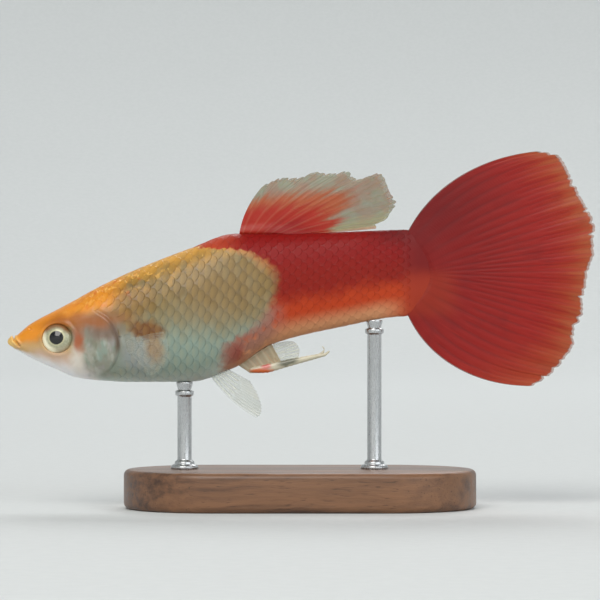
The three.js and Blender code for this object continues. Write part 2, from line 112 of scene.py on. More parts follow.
PUPIL_SHIFT = 0.1
MOUTH_LINE = ((0.42, 0.6), (0.58, 0.12), (0.98, -0.28))
NOSTRIL = (1.8, 0.95)
GAP = 0.3


# Plain helpers

def smooth(x, low, high):
    t = np.clip((x - low) / (high - low), 0, 1)
    return t * t * (3 - 2 * t)


def mix(a, b, t):
    return a + (b - a) * t


def bump(x, middle, width):
    return np.exp(-(((x - middle) / width) ** 2))


def world(points):
    """Fish millimetres to metres in the frame."""
    return (np.asarray(points, float) + (SNOUT_X, 0, SNOUT_Z)) * MM


def srgb(red, green, blue):
    """A colour given as 0 to 255 steps, as the linear values that a shader takes."""
    shares = [v / 255 for v in (red, green, blue)]
    return tuple(v / 12.92 if v <= 0.04045 else ((v + 0.055) / 1.055) ** 2.4 for v in shares)


# The shape of the body

def along(column, x):
    """A smooth value between stations, with no overshoot."""
    at, values = STATIONS[:, 0], STATIONS[:, column]
    slopes = np.diff(values) / np.diff(at)
    tangents = np.concatenate(([slopes[0]], np.zeros(len(slopes) - 1), [slopes[-1]]))
    before, after = slopes[:-1], slopes[1:]
    same = before * after > 0
    tangents[1:-1][same] = (2 * before * after)[same] / (before + after)[same]
    i = np.clip(np.searchsorted(at, x) - 1, 0, len(at) - 2)
    span = at[i + 1] - at[i]
    t = np.clip((x - at[i]) / span, 0, 1)
    return (
        values[i] * (2 * t**3 - 3 * t**2 + 1)
        + tangents[i] * span * (t**3 - 2 * t**2 + t)
        + values[i + 1] * (3 * t**2 - 2 * t**3)
        + tangents[i + 1] * span * (t**3 - t**2)
    )


def gill_reach(x, z):
    return np.hypot(x - GILL_HUB[0], z - GILL_HUB[1]) / GILL_RADIUS


def gill_flare(x, z):
    """How far the gill cover stands off the head."""
    back = x - (GILL_HUB[0] + GILL_RADIUS - GILL_RAMP)
    return GILL_FLARE * smooth(back / GILL_RAMP, 0, 1) * (1 - smooth(gill_reach(x, z), 0.99, 1.07))


def eye_reach(x, z):
    return np.hypot((x - EYE_CENTRE[0]) / EYE_STRETCH, z - EYE_CENTRE[2])


def body_points(x, angle, flared):
    """Points of the skin, from the distance behind the snout and the angle round the body."""
    ahead = np.minimum(1, x / SNOUT_ROUND)
    rounding = np.sqrt(np.clip(1 - (1 - ahead) ** 2, 0, 1))
    top, bottom = along(BACK, x), along(BELLY, x)
    behind = x > TAIL_HUB[0]
    half = np.sqrt(np.clip(HUB_RADIUS**2 - (x - TAIL_HUB[0]) ** 2, 0, None))
    top = np.where(behind, np.minimum(top, TAIL_HUB[1] + half), top)
    bottom = np.where(behind, np.maximum(bottom, TAIL_HUB[1] - half), bottom)
    rounding = np.where(behind, np.minimum(1, half / (0.35 * HUB_RADIUS)), rounding)
    middle = (top + bottom) / 2
    square = mix(HEAD_SQUARE, BODY_SQUARE, smooth(x, 4, 10))
    c, s = np.cos(angle), np.sin(angle)
    height = np.where(behind, 1, rounding) * np.where(s > 0, top - middle, middle - bottom)
    z = middle + height * np.sign(s) * np.abs(s) ** (2 / square)
    wide = along(WIDTH, x) * rounding * np.abs(c) ** (2 / square)
    wide = wide * mix(1, STALK_END, smooth(x, STALK_NARROWS, BODY_LENGTH))
    if flared:
        wide = wide + gill_flare(x, z) * np.abs(c) ** 0.7
    return np.stack([x, -np.sign(c) * wide, z], axis=-1)


class Girth:
    """How far round the body a point is, as a share of the way from the back to the belly."""

    def __init__(self, steps=240, turns=181):
        self.steps, self.turns = steps, turns
        x = np.linspace(0.05, BODY_LENGTH - 0.05, steps)[:, None]
        self.angles = np.linspace(math.pi / 2, -math.pi / 2, turns)
        ring = body_points(np.repeat(x, turns, 1), np.repeat(self.angles[None], steps, 0), False)
        lengths = np.cumsum(np.linalg.norm(np.diff(ring, axis=1), axis=-1), axis=1)
        self.length = lengths[:, -1]
        self.share = np.concatenate([np.zeros((steps, 1)), lengths / lengths[:, -1:]], axis=1)
        even = np.linspace(0, 1, turns)
        self.turn = np.stack([np.interp(even, row, self.angles) for row in self.share])

    def read(self, table, x, column):
        row = np.clip((x - 0.05) / (BODY_LENGTH - 0.1), 0, 1) * (self.steps - 1)
        i = np.clip(row.astype(int), 0, self.steps - 2)
        column = np.clip(column, 0, 1) * (self.turns - 1)
        j = np.clip(column.astype(int), 0, self.turns - 2)
        a, b = row - i, column - j
        near = mix(table[i, j], table[i, j + 1], b)
        return mix(near, mix(table[i + 1, j], table[i + 1, j + 1], b), a)

    def share_at(self, x, angle):
        folded = np.arctan2(np.sin(angle), np.abs(np.cos(angle)))
        return self.read(self.share, x, 0.5 - folded / math.pi)

    def angle_at(self, x, share):
        return self.read(self.turn, x, share)


GIRTH = Girth()


# Mesh helpers

def deselect_all():
    if bpy.context.mode != "OBJECT":
        bpy.ops.object.mode_set(mode="OBJECT")
    bpy.ops.object.select_all(action="DESELECT")


def name_new(name):
    piece = bpy.context.object
    piece.name = name
    piece.data.name = name
    return piece


def read_points(piece):
    points = np.empty(len(piece.data.vertices) * 3)
    piece.data.vertices.foreach_get("co", points)
    return points.reshape(-1, 3)


def write_points(piece, points):
    piece.data.vertices.foreach_set("co", np.asarray(points, float).ravel())
    piece.data.update()


def read_normals(piece):
    normals = np.empty(len(piece.data.vertices) * 3)
    piece.data.vertices.foreach_get("normal", normals)
    return normals.reshape(-1, 3)


def set_attribute(piece, name, values):
    made = piece.data.attributes.new(name, "FLOAT", "POINT")
    made.data.foreach_set("value", np.asarray(values, np.float32).ravel())


def turn_faces_out(piece):
    deselect_all()
    piece.select_set(True)
    bpy.context.view_layer.objects.active = piece
    bpy.ops.object.mode_set(mode="EDIT")
    bpy.ops.mesh.select_all(action="SELECT")
    bpy.ops.mesh.normals_make_consistent(inside=False)
    bpy.ops.object.mode_set(mode="OBJECT")


def finish_piece(piece, material, nodes=()):
    """Gives it smooth shading and its finish, hangs it under the frame's root, and hides the frame's parts that it
    replaces.
    """
    deselect_all()
    piece.select_set(True)
    bpy.context.view_layer.objects.active = piece
    bpy.ops.object.shade_smooth()
    piece.data.materials.clear()
    piece.data.materials.append(material)
    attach(piece, "root")
    if nodes:
        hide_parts(*nodes)
    return piece


def apply_modifier(piece, kind, **values):
    modifier = piece.modifiers.new(kind.title(), kind)
    for key, value in values.items():
        setattr(modifier, key, value)
    deselect_all()
    piece.select_set(True)
    bpy.context.view_layer.objects.active = piece
    bpy.ops.object.modifier_apply(modifier=modifier.name)


# Finishes

class Finish:
    """A material whose nodes are added and joined by short calls, so that a finish reads as a recipe."""

    def __init__(self, name):
        self.material = bpy.data.materials.new(name)
        self.material.use_nodes = True
        self.tree = self.material.node_tree
        self.tree.nodes.clear()
        self.shader = self.node("ShaderNodeBsdfPrincipled")
        output = self.node("ShaderNodeOutputMaterial")
        self.tree.links.new(self.shader.outputs["BSDF"], output.inputs["Surface"])

    def node(self, kind, **settings):
        made = self.tree.nodes.new(kind)
        for key, value in settings.items():
            setattr(made, key, value)
        return made

    def put(self, socket, value):
        if isinstance(value, bpy.types.NodeSocket):
            self.tree.links.new(value, socket)
        elif socket.type == "RGBA" and len(value) == 3:
            socket.default_value = (*value, 1)
        else:
            socket.default_value = value

    def set(self, **values):
        """Sets the shader's own sockets, with spaces in their names written as underscores."""
        for key, value in values.items():
            self.put(self.shader.inputs[key.replace("_", " ")], value)

    def math(self, operation, a, b=0.0, c=0.0):
        made = self.node("ShaderNodeMath", operation=operation)
        for socket, value in zip(made.inputs, (a, b, c)):
            self.put(socket, value)
        return made.outputs[0]

    def vector(self, operation, a, b=None, scale=None):
        made = self.node("ShaderNodeVectorMath", operation=operation)
        self.put(made.inputs[0], a)
        if b is not None:
            self.put(made.inputs[1], b)
        if scale is not None:
            self.put(made.inputs["Scale"], scale)
        return made.outputs["Value" if operation == "LENGTH" else "Vector"]

    def rise(self, value, low, high, out_low=0.0, out_high=1.0):
        """A soft step, from out_low at low to out_high at high; it falls where low is over high."""
        made = self.node("ShaderNodeMapRange", interpolation_type="SMOOTHSTEP")
        for socket, number in zip(made.inputs, (value, low, high, out_low, out_high)):
            self.put(socket, number)
        return made.outputs["Result"]

    def blend(self, share, a, b, kind="MIX"):
        made = self.node("ShaderNodeMix", data_type="RGBA", blend_type=kind)
        self.put(made.inputs[0], share)
        self.put(made.inputs[6], a)
        self.put(made.inputs[7], b)
        return made.outputs[2]

    def noise(self, where, scale, detail=2.0, roughness=0.5, distortion=0.0, output="Fac"):
        made = self.node("ShaderNodeTexNoise")
        self.put(made.inputs["Vector"], where)
        self.put(made.inputs["Scale"], scale)
        self.put(made.inputs["Detail"], detail)
        self.put(made.inputs["Roughness"], roughness)
        self.put(made.inputs["Distortion"], distortion)
        return made.outputs[output]

    def attribute(self, name, output="Fac"):
        return self.node("ShaderNodeAttribute", attribute_name=name).outputs[output]

    def stretch(self, where, scale):
        made = self.node("ShaderNodeVectorMath", operation="MULTIPLY")
        self.put(made.inputs[0], where)
        self.put(made.inputs[1], scale)
        return made.outputs["Vector"]

    def parts(self, vector):
        made = self.node("ShaderNodeSeparateXYZ")
        self.put(made.inputs[0], vector)
        return made.outputs

    def fish_place(self):
        """The place on the fish, in millimetres from the snout tip."""
        coordinates = self.node("ShaderNodeTexCoord").outputs["Object"]
        moved = self.vector("SUBTRACT", coordinates, (SNOUT_X * MM, 0, SNOUT_Z * MM))
        return self.vector("SCALE", moved, scale=1 / MM)

    def warp(self, where, amount, scale):
        """The place, shifted by noise, so that the edge of a marking is uneven."""
        shift = self.vector("SUBTRACT", self.noise(where, scale, 3, output="Color"), (0.5, 0.5, 0.5))
        return self.vector("ADD", where, self.vector("SCALE", shift, scale=amount))

    def patch(self, where, centre, radii, tilt=0.0, soft=0.35):
        """One inside an oval of the side view and nought outside it."""
        made = self.node("ShaderNodeMapping", vector_type="TEXTURE")
        self.put(made.inputs["Vector"], where)
        self.put(made.inputs["Location"], (centre[0], 0, centre[1]))
        self.put(made.inputs["Rotation"], (0, -math.radians(tilt), 0))
        self.put(made.inputs["Scale"], (radii[0], 1000, radii[1]))
        return self.rise(self.vector("LENGTH", made.outputs["Vector"]), 1 + soft, 1 - soft)

    def curve(self, value, points):
        """A line through points, as a function of the value."""
        made = self.node("ShaderNodeFloatCurve")
        line = made.mapping.curves[0]
        xs = [p[0] for p in points]
        ys = [p[1] for p in points]
        low, high, least, most = min(xs), max(xs), min(ys), max(ys)
        scaled = [((x - low) / (high - low), (y - least) / (most - least)) for x, y in sorted(points)]
        line.points[0].location = scaled[0]
        line.points[-1].location = scaled[-1]
        for place in scaled[1:-1]:
            line.points.new(*place)
        made.mapping.update()
        share = self.math("DIVIDE", self.math("SUBTRACT", value, low), high - low)
        self.put(made.inputs["Value"], self.math("MINIMUM", self.math("MAXIMUM", share, 0.0), 1.0))
        return self.math("MULTIPLY_ADD", made.outputs[0], most - least, least)

    def relief(self, height, distance, strength=1.0):
        """Fine relief: distance is in millimetres for a height of one."""
        made = self.node("ShaderNodeBump")
        self.put(made.inputs["Height"], height)
        self.put(made.inputs["Distance"], distance * MM)
        self.put(made.inputs["Strength"], strength)
        return made.outputs["Normal"]


GOLD_BACK = srgb(212, 154, 62)
FLANK_TAN = srgb(112, 91, 47)
FLANK_OLIVE = srgb(126, 117, 88)
FLANK_BEIGE = srgb(144, 120, 88)
BELLY_GREEN = srgb(134, 152, 140)
BELLY_PALE = srgb(196, 206, 198)
CROWN_ORANGE = srgb(224, 140, 36)
CROWN_GOLD_AND_HIGHLIGHT = srgb(244, 188, 96)
NAPE_RED = srgb(206, 92, 28)
SNOUT_ORANGE = srgb(222, 138, 24)
LIP_PALE = srgb(224, 184, 104)
CHIN_WHITE = srgb(232, 230, 230)
CHEEK_PINK = srgb(196, 166, 146)
CHEEK_TAN = srgb(196, 158, 104)
GILL_SILVER = srgb(138, 138, 124)
GILL_TEAL = srgb(130, 156, 144)
GILL_LILAC = srgb(156, 142, 146)
GILL_OLIVE = srgb(104, 108, 84)
GILL_WHITE = srgb(214, 206, 194)
GILL_BROWN = srgb(116, 88, 74)
GILL_RED = srgb(160, 76, 32)
BAND_BROWN = srgb(152, 82, 20)
GILL_EDGE_SHADOW = srgb(88, 62, 44)
SHOULDER = srgb(146, 150, 152)
PATCH_BROWN = srgb(114, 69, 28)
PATCH_TAN = srgb(148, 108, 62)
GOLD_FLECK_AND_GLINT = srgb(250, 206, 120)
FLECK_PALE = srgb(206, 206, 196)
RED_DEEP = srgb(130, 16, 14)
RED_MID = srgb(132, 27, 17)
RED_ORANGE = srgb(176, 60, 26)
RED_PALE = srgb(206, 150, 108)
RED_LIGHT = srgb(184, 72, 44)
RED_ROSE = srgb(150, 108, 94)
EDGE_ORANGE = srgb(184, 112, 56)
VENT_RED = srgb(136, 56, 48)
ROOT_DARK = srgb(88, 18, 20)
STALK_ORANGE = srgb(146, 44, 24)
TAIL_ROOT = srgb(112, 15, 14)

# Where the red rear half begins, from the belly up: height over the snout tip, distance behind it
RED_EDGE = (
    (-3.0, 16.5), (-1.5, 16.5), (-0.4, 16.7), (0.0, 17.2), (1.25, 19.1), (2.05, 19.75),
    (3.2, 20.35), (5.2, 20.55), (6.1, 19.9), (6.7, 18.9), (7.05, 17.0), (7.3, 14.4), (8.6, 13.0),
)


def fish_colours(finish):
    """The fish's markings, with painted highlights and a painted shadow laid among them, shared by the skin and the
    scales: the colour, how red it is, and its places.
    """
    f = finish
    place = f.fish_place()
    uneven = f.warp(place, 0.9, 0.9)
    ragged = f.warp(place, 0.8, 2.2)
    x, _, z = f.parts(uneven)
    rx, _, rz = f.parts(ragged)
    girth = f.attribute("girth")
    tone = f.attribute("tone")
    shift = f.math("MULTIPLY", f.math("SUBTRACT", f.noise(place, 0.9), 0.5), 0.12)
    shift = f.math("ADD", shift, f.math("MULTIPLY", f.math("SUBTRACT", tone, 0.5), 0.045))
    wavering = f.math("ADD", girth, shift)
    flank = f.math("SUBTRACT", wavering, f.rise(x, 12.0, 19.5, 0.0, 0.16))
    colour = f.blend(f.rise(wavering, 0.05, 0.26), GOLD_BACK, FLANK_TAN)

    def lay(mask, strength, paint):
        """Paints over what is there, where the mask is one."""
        nonlocal colour
        colour = f.blend(f.math("MULTIPLY", mask, strength), colour, paint)

    def where(*masks):
        """All of the masks at once."""
        both = masks[0]
        for mask in masks[1:]:
            both = f.math("MULTIPLY", both, mask)
        return both

    # Trunk, from the gold back to the grey-green belly
    lay(f.rise(flank, 0.32, 0.5), 1.0, FLANK_OLIVE)
    lay(where(f.rise(flank, 0.46, 0.66), f.rise(x, 8.0, 12.0, 0.6, 1.0)), 1.0, BELLY_GREEN)
    lay(f.rise(girth, 0.8, 0.96), 0.8, BELLY_PALE)
    mottle = f.rise(f.noise(f.stretch(place, (1.2, 1, 0.7)), 1.3, 4, 0.6), 0.5, 0.68)
    lay(where(mottle, f.rise(girth, 0.42, 0.2), f.rise(x, 17.0, 13.0)), 0.4, GOLD_BACK)
    lay(where(f.rise(tone, 0.5, 0.95), f.rise(girth, 0.62, 0.4)), 0.15, BELLY_GREEN)
    # gold flecks along the back: partly the fish's gold, partly painted glints on the scales
    flecks_and_glints = f.rise(f.noise(f.stretch(place, (1.4, 1, 0.8)), 2.6, 3, 0.7), 0.6, 0.72)
    lay(where(flecks_and_glints, f.rise(girth, 0.26, 0.12)), 0.7, GOLD_FLECK_AND_GLINT)
    lay(f.patch(uneven, (16.8, 4.2), (3.8, 2.6), 8, 0.7), 0.45, FLANK_BEIGE)
    lay(f.patch(uneven, (9.3, 2.9), (1.9, 1.2), 20, 0.7), 0.6, srgb(128, 92, 44))
    lay(f.patch(uneven, (10.3, -0.9), (1.7, 1.5), 0, 0.6), 0.7, SHOULDER)
    lay(f.patch(ragged, (11.4, -0.5), (0.65, 1.0), 8, 0.6), 0.75, PATCH_TAN)
    lay(f.patch(ragged, (10.8, 0.9), (1.3, 0.68), -6, 0.4), 0.9, PATCH_BROWN)
    lay(f.patch(ragged, (13.4, 3.7), (0.25, 0.45), 0, 0.6), 0.5, srgb(92, 74, 44))
    lay(f.patch(ragged, (17.8, 3.75), (0.2, 0.6), 0, 0.6), 0.35, srgb(100, 86, 58))

    # Head, from the crown down to the chin
    ahead = f.rise(x, 9.6, 7.2)
    lay(where(ahead, f.rise(wavering, 0.44, 0.24)), 0.95, CROWN_ORANGE)
    # gold spots on the crown and nape: partly the fish's gold, partly painted highlights on the scales
    gold = f.rise(f.noise(f.stretch(place, (1.1, 1, 1.1)), 1.9, 3), 0.52, 0.66)
    lay(where(gold, f.rise(girth, 0.3, 0.14), f.rise(x, 15.0, 9.0), f.rise(x, 3.0, 6.0)), 0.8, CROWN_GOLD_AND_HIGHLIGHT)
    rusty = f.rise(f.noise(f.vector("ADD", place, (7, 3, 5)), 1.5, 3), 0.56, 0.68)
    lay(where(rusty, f.rise(girth, 0.36, 0.2), f.rise(x, 11.5, 8.5), f.rise(x, 4.5, 6.5)), 0.55, NAPE_RED)
    lay(f.patch(uneven, (1.6, 0.75), (2.5, 1.1), 24, 0.6), 0.95, SNOUT_ORANGE)
    front = f.rise(x, 7.4, 5.6)
    lay(where(front, f.rise(wavering, 0.46, 0.6)), 0.85, CHEEK_TAN)
    lay(where(front, f.rise(wavering, 0.56, 0.7), f.rise(x, 1.2, 2.8)), 0.8, CHEEK_PINK)
    lay(where(f.rise(x, 7.8, 6.0), f.rise(wavering, 0.68, 0.84)), 0.95, CHIN_WHITE)
    lay(f.patch(place, (0.25, 0.1), (0.6, 0.6), 0, 0.6), 0.85, LIP_PALE)

    # Gill cover: silver with teal, lilac and olive glints, a white front edge and a painted shadow along the top of its
    # rear edge
    cover = f.patch(f.warp(place, 0.5, 1.1), (7.15, -0.35), (1.7, 2.1), 0, 0.5)
    lay(cover, 0.95, GILL_SILVER)
    brushed = f.stretch(place, (1.5, 1, 0.8))
    for seed, paint, strength in ((0, GILL_TEAL, 0.5), (11, GILL_LILAC, 0.5), (23, GILL_OLIVE, 0.5), (37, FLECK_PALE, 0.3)):
        glint = f.noise(f.vector("ADD", brushed, (seed, seed, seed)), 1.0, 2, 0.5)
        lay(where(cover, f.rise(glint, 0.48, 0.68)), strength, paint)
    lay(f.patch(uneven, (7.5, 0.8), (1.3, 0.6), 0, 0.7), 0.75, GILL_BROWN)
    lay(f.patch(uneven, (5.55, -1.5), (0.45, 1.05), 10, 0.7), 0.85, GILL_WHITE)
    lay(f.patch(uneven, (5.6, 0.2), (0.4, 0.9), 6, 0.7), 0.85, GILL_RED)
    lay(f.patch(uneven, (6.7, 1.6), (2.3, 0.55), 4, 0.8), 0.85, BAND_BROWN)
    lay(f.patch(uneven, (4.0, 1.55), (1.4, 0.5), 12, 0.8), 0.7, BAND_BROWN)
    # painted shadow along the upper part of the gill cover's rear edge
    middle = f.stretch(f.vector("SUBTRACT", place, (GILL_HUB[0], 0, GILL_HUB[1])), (1, 0, 1))
    reach = f.vector("LENGTH", middle)
    rim = where(f.rise(reach, GILL_RADIUS - 0.35, GILL_RADIUS), f.rise(reach, GILL_RADIUS + 0.35, GILL_RADIUS))
    lay(where(rim, f.rise(x, 7.6, 8.3), f.rise(z, -1.2, -0.4)), 0.8, GILL_EDGE_SHADOW)

    # The red rear half
    edge = f.math("SUBTRACT", rx, f.curve(rz, RED_EDGE))
    red = f.rise(edge, -0.6, 0.55)
    lay(where(f.rise(edge, -1.6, -0.1), f.rise(z, 4.6, 6.2)), 0.6, EDGE_ORANGE)
    base = colour
    colour = f.blend(f.rise(wavering, 0.22, 0.5), RED_DEEP, RED_MID)
    lay(f.rise(wavering, 0.5, 0.72), 1.0, RED_ORANGE)
    lay(where(f.rise(girth, 0.72, 0.9), f.rise(x, 31.5, 28.0)), 0.9, RED_PALE)
    lay(where(f.rise(x, 18.6, 15.6), f.rise(z, 5.6, 6.6)), 0.8, RED_LIGHT)
    scattered = f.rise(f.noise(place, 1.4, 3, 0.6), 0.3, 0.5)
    lay(where(f.patch(uneven, (18.75, 0.6), (2.4, 1.35), 38, 0.6), scattered), 0.9, RED_ROSE)
    lay(f.patch(ragged, (17.2, -0.8), (0.85, 0.85), 0, 0.6), 0.9, VENT_RED)
    lay(f.patch(uneven, (31.5, 8.6), (3.4, 1.1), 0, 0.7), 0.8, ROOT_DARK)
    lay(where(f.rise(x, 29.6, 31.6), f.rise(z, 4.4, 6.0)), 0.95, TAIL_ROOT)
    lay(where(f.rise(x, 29.6, 31.4), f.rise(z, 6.0, 4.4)), 0.85, STALK_ORANGE)
    lay(where(f.rise(edge, 1.4, 0.3), f.rise(z, 3.0, 1.6)), 0.75, RED_ROSE)
    colour = f.blend(red, base, colour)
    return colour, red, girth, place, tone


def skin_finish():
    """Smooth wet skin, which shows bare on the face, the gill covers and between scales."""
    f = Finish("fish_skin")
    colour, red, girth, place, _ = fish_colours(f)
    pores = f.noise(place, 9.0, 3)
    f.set(
        Base_Color=colour,
        Roughness=f.rise(f.noise(place, 3.0), 0.3, 0.7, 0.32, 0.46),
        Specular_IOR_Level=f.rise(red, 0.0, 1.0, 0.35, 0.2),
        Coat_Weight=f.rise(red, 0.0, 1.0, 0.2, 0.06),
        Coat_Roughness=0.14,
        Subsurface_Weight=0.12,
        Subsurface_Radius=(1.0, 0.4, 0.25),
        Subsurface_Scale=0.35 * MM,
        Normal=f.relief(pores, 0.012, 0.6),
    )
    return f.material


def scale_finish():
    """Thin scales with growth rings, a rear rim darkened partly by the pigment net and partly by painted shade, and a
    painted pearly glint in the gold half.
    """
    f = Finish("fish_scales")
    colour, red, girth, place, tone = fish_colours(f)
    rim = f.attribute("rim")
    # darker rim: partly the pigment net, partly painted shade along the scale's edge
    colour = f.blend(f.rise(rim, 0.6, 0.98, 0.0, 0.07), colour, (0.05, 0.02, 0.01))
    # painted highlight: a pearly glint in the middle of each scale in the gold half
    centre_glint = f.math("MULTIPLY", f.rise(rim, 0.7, 0.2), f.rise(red, 1.0, 0.0, 0.0, 0.06))
    colour = f.blend(centre_glint, colour, GOLD_FLECK_AND_GLINT)
    rings = f.math("SINE", f.math("MULTIPLY", rim, 46.0))
    f.set(
        Base_Color=colour,
        Metallic=f.rise(red, 1.0, 0.0, 0.0, 0.1),
        Roughness=f.math("ADD", f.rise(tone, 0.0, 1.0, 0.36, 0.46), f.math("MULTIPLY", red, 0.06)),
        Specular_IOR_Level=f.rise(red, 0.0, 1.0, 0.22, 0.14),
        Coat_Weight=f.rise(red, 0.0, 1.0, 0.12, 0.03),
        Coat_Roughness=0.14,
        Normal=f.relief(rings, 0.002, 0.3),
    )
    return f.material


# Skin and scales

# How the rings are spread, from the snout (0) to the end of the stalk (1)
RING_PLACES = ((0.0, 0.0), (0.1, 1.2), (0.52, 9.6), (0.86, 30.0), (1.0, BODY_LENGTH))


def line_distance(x, z, line):
    """Distance in the side view to a line of points."""
    best = np.full_like(x, 1e9)
    for (ax, az), (bx, bz) in zip(line, line[1:]):
        dx, dz = bx - ax, bz - az
        t = np.clip(((x - ax) * dx + (z - az) * dz) / (dx * dx + dz * dz), 0, 1)
        best = np.minimum(best, np.hypot(x - ax - t * dx, z - az - t * dz))
    return best


def skin_relief(points):
    """Lips, nostrils, the gill cover's edge and the rims of the eyes, as heights along the normal."""
    x, y, z = points.T
    side = smooth(np.abs(y), 0.35, 0.6)
    mouth = line_distance(x, z, MOUTH_LINE)
    near = smooth(x, 1.35, 1.0)
    height = near * (0.085 * bump(mouth, 0.17, 0.09) - 0.2 * bump(mouth, 0.0, 0.055))
    nostril = np.hypot(x - NOSTRIL[0], z - NOSTRIL[1])
    height += side * (0.03 * bump(nostril, 0.19, 0.06) - 0.14 * bump(nostril, 0.0, 0.09))
    reach = gill_reach(x, z) * GILL_RADIUS
    behind = smooth(x, GILL_HUB[0] + 0.7, GILL_HUB[0] + 1.2)
    height -= behind * mix(0.0, 0.045, smooth(z, -1.2, 0.2)) * bump(reach, GILL_RADIUS + 0.19, 0.12)
    height += behind * 0.02 * bump(reach, GILL_RADIUS - 0.12, 0.12)
    cheek = np.hypot(x - 3.5, z + 0.2)
    height -= smooth(x, 4.6, 5.2) * side * 0.025 * bump(cheek, 2.25, 0.12)
    height += 0.04 * bump(eye_reach(x, z), EYE_RADIUS + 0.16, 0.11)
    return height


def open_sockets(points):
    """Sinks the skin under each eyeball."""
    x, y, z = points.T
    depth = 0.8 * np.sqrt(np.clip(1 - (eye_reach(x, z) / (EYE_RADIUS - 0.03)) ** 2, 0, 1))
    inside = (depth > 0) & (np.abs(y) > 0.5)
    return np.stack([x, np.where(inside, np.sign(y) * np.maximum(0.15, np.abs(y) - depth), y), z], axis=-1)


def build_skin(settings):
    deselect_all()
    bpy.ops.mesh.primitive_uv_sphere_add(segments=settings.around, ring_count=settings.rings, radius=1.0)
    skin = name_new("fish_skin")
    ball = read_points(skin)
    share = np.arccos(np.clip(ball[:, 2], -1, 1)) / math.pi
    x = np.interp(share, *zip(*RING_PLACES))
    angle = np.arctan2(ball[:, 1], ball[:, 0])
    points = body_points(x, angle, True)
    write_points(skin, points)
    turn_faces_out(skin)
    points = points + read_normals(skin) * skin_relief(points)[:, None]
    points = open_sockets(points)
    write_points(skin, world(points))
    set_attribute(skin, "girth", GIRTH.share_at(x, angle))
    set_attribute(skin, "tone", np.full(len(x), 0.5))
    return finish_piece(skin, skin_finish(), ("head", "trunk", "tail_stalk"))


SCALE_STEPS = np.array([0.0, 0.35, 0.65, 0.84, 0.94, 1.0])
SCALE_SIDES = np.array([-1.0, -0.8, -0.42, 0.0, 0.42, 0.8, 1.0])
SCALE_THICK = 0.008
SCALE_ROOT = 0.024
SCALE_DOME = 0.006
SCALE_SINK = 0.05
SCALE_FROM = 4.9
SCALE_TO = 31.4


def scale_allowed(x, z):
    """Scales cover the nape, the flanks and the stalk, and leave the face and the gill covers bare."""
    off_gill = gill_reach(x, z) > 1.05
    nape = z > 2.05 + 0.12 * (x - 5)
    clear_of_eye = math.hypot(x - EYE_CENTRE[0], z - EYE_CENTRE[2]) > 1.75
    return off_gill and clear_of_eye and (nape or x > 7.5)


def scale_roots(settings):
    """Where each scale is rooted: x, share of the girth, side and size, in staggered columns."""
    chance = np.random.default_rng(7)
    rows = settings.rows
    columns = int((SCALE_TO - SCALE_FROM) / settings.spacing)
    roots = []
    for column in range(columns):
        x = SCALE_FROM + column * settings.spacing
        shift = 0.0 if column % 2 else 0.5
        for row in range(rows + 1 - (column + 1) % 2):
            share = (row + shift) / rows
            on_midline = share < 1e-6 or share > 1 - 1e-6
            for side in (1,) if on_midline else (-1, 1):
                drift = chance.normal(0, 0.02, 2)
                angle = GIRTH.angle_at(np.array([x]), np.array([share]))[0]
                z = body_points(np.array([x]), np.array([angle]), False)[0, 2]
                if scale_allowed(x, z):
                    roots.append((x + drift[0], share, side, 1 + drift[1]))
    return roots


def side_points(x, share, side, lift):
    """Points on the skin by their share of the girth, lifted off it; shares pass over the midlines."""
    over = np.where(share < 0, -1, 1) * np.where(share > 1, -1, 1)
    folded = np.where(share < 0, -share, np.where(share > 1, 2 - share, share))
    angle = GIRTH.angle_at(x, folded)
    flip = side * over
    at = body_points(x, angle, False)
    ahead = body_points(x + 0.02, angle, False) - body_points(x - 0.02, angle, False)
    around = body_points(x, angle - 0.01, False) - body_points(x, angle + 0.01, False)
    normal = np.cross(around, ahead)
    normal /= np.linalg.norm(normal, axis=-1, keepdims=True) + 1e-12
    middle = (along(BACK, x) + along(BELLY, x)) / 2
    outwards = np.stack([np.zeros_like(x), at[..., 1], at[..., 2] - middle], axis=-1)
    normal *= np.sign(np.sum(normal * outwards, axis=-1, keepdims=True))
    lifted = at + normal * lift[..., None]
    lifted[..., 1] *= -flip * np.sign(-1.0)
    return lifted


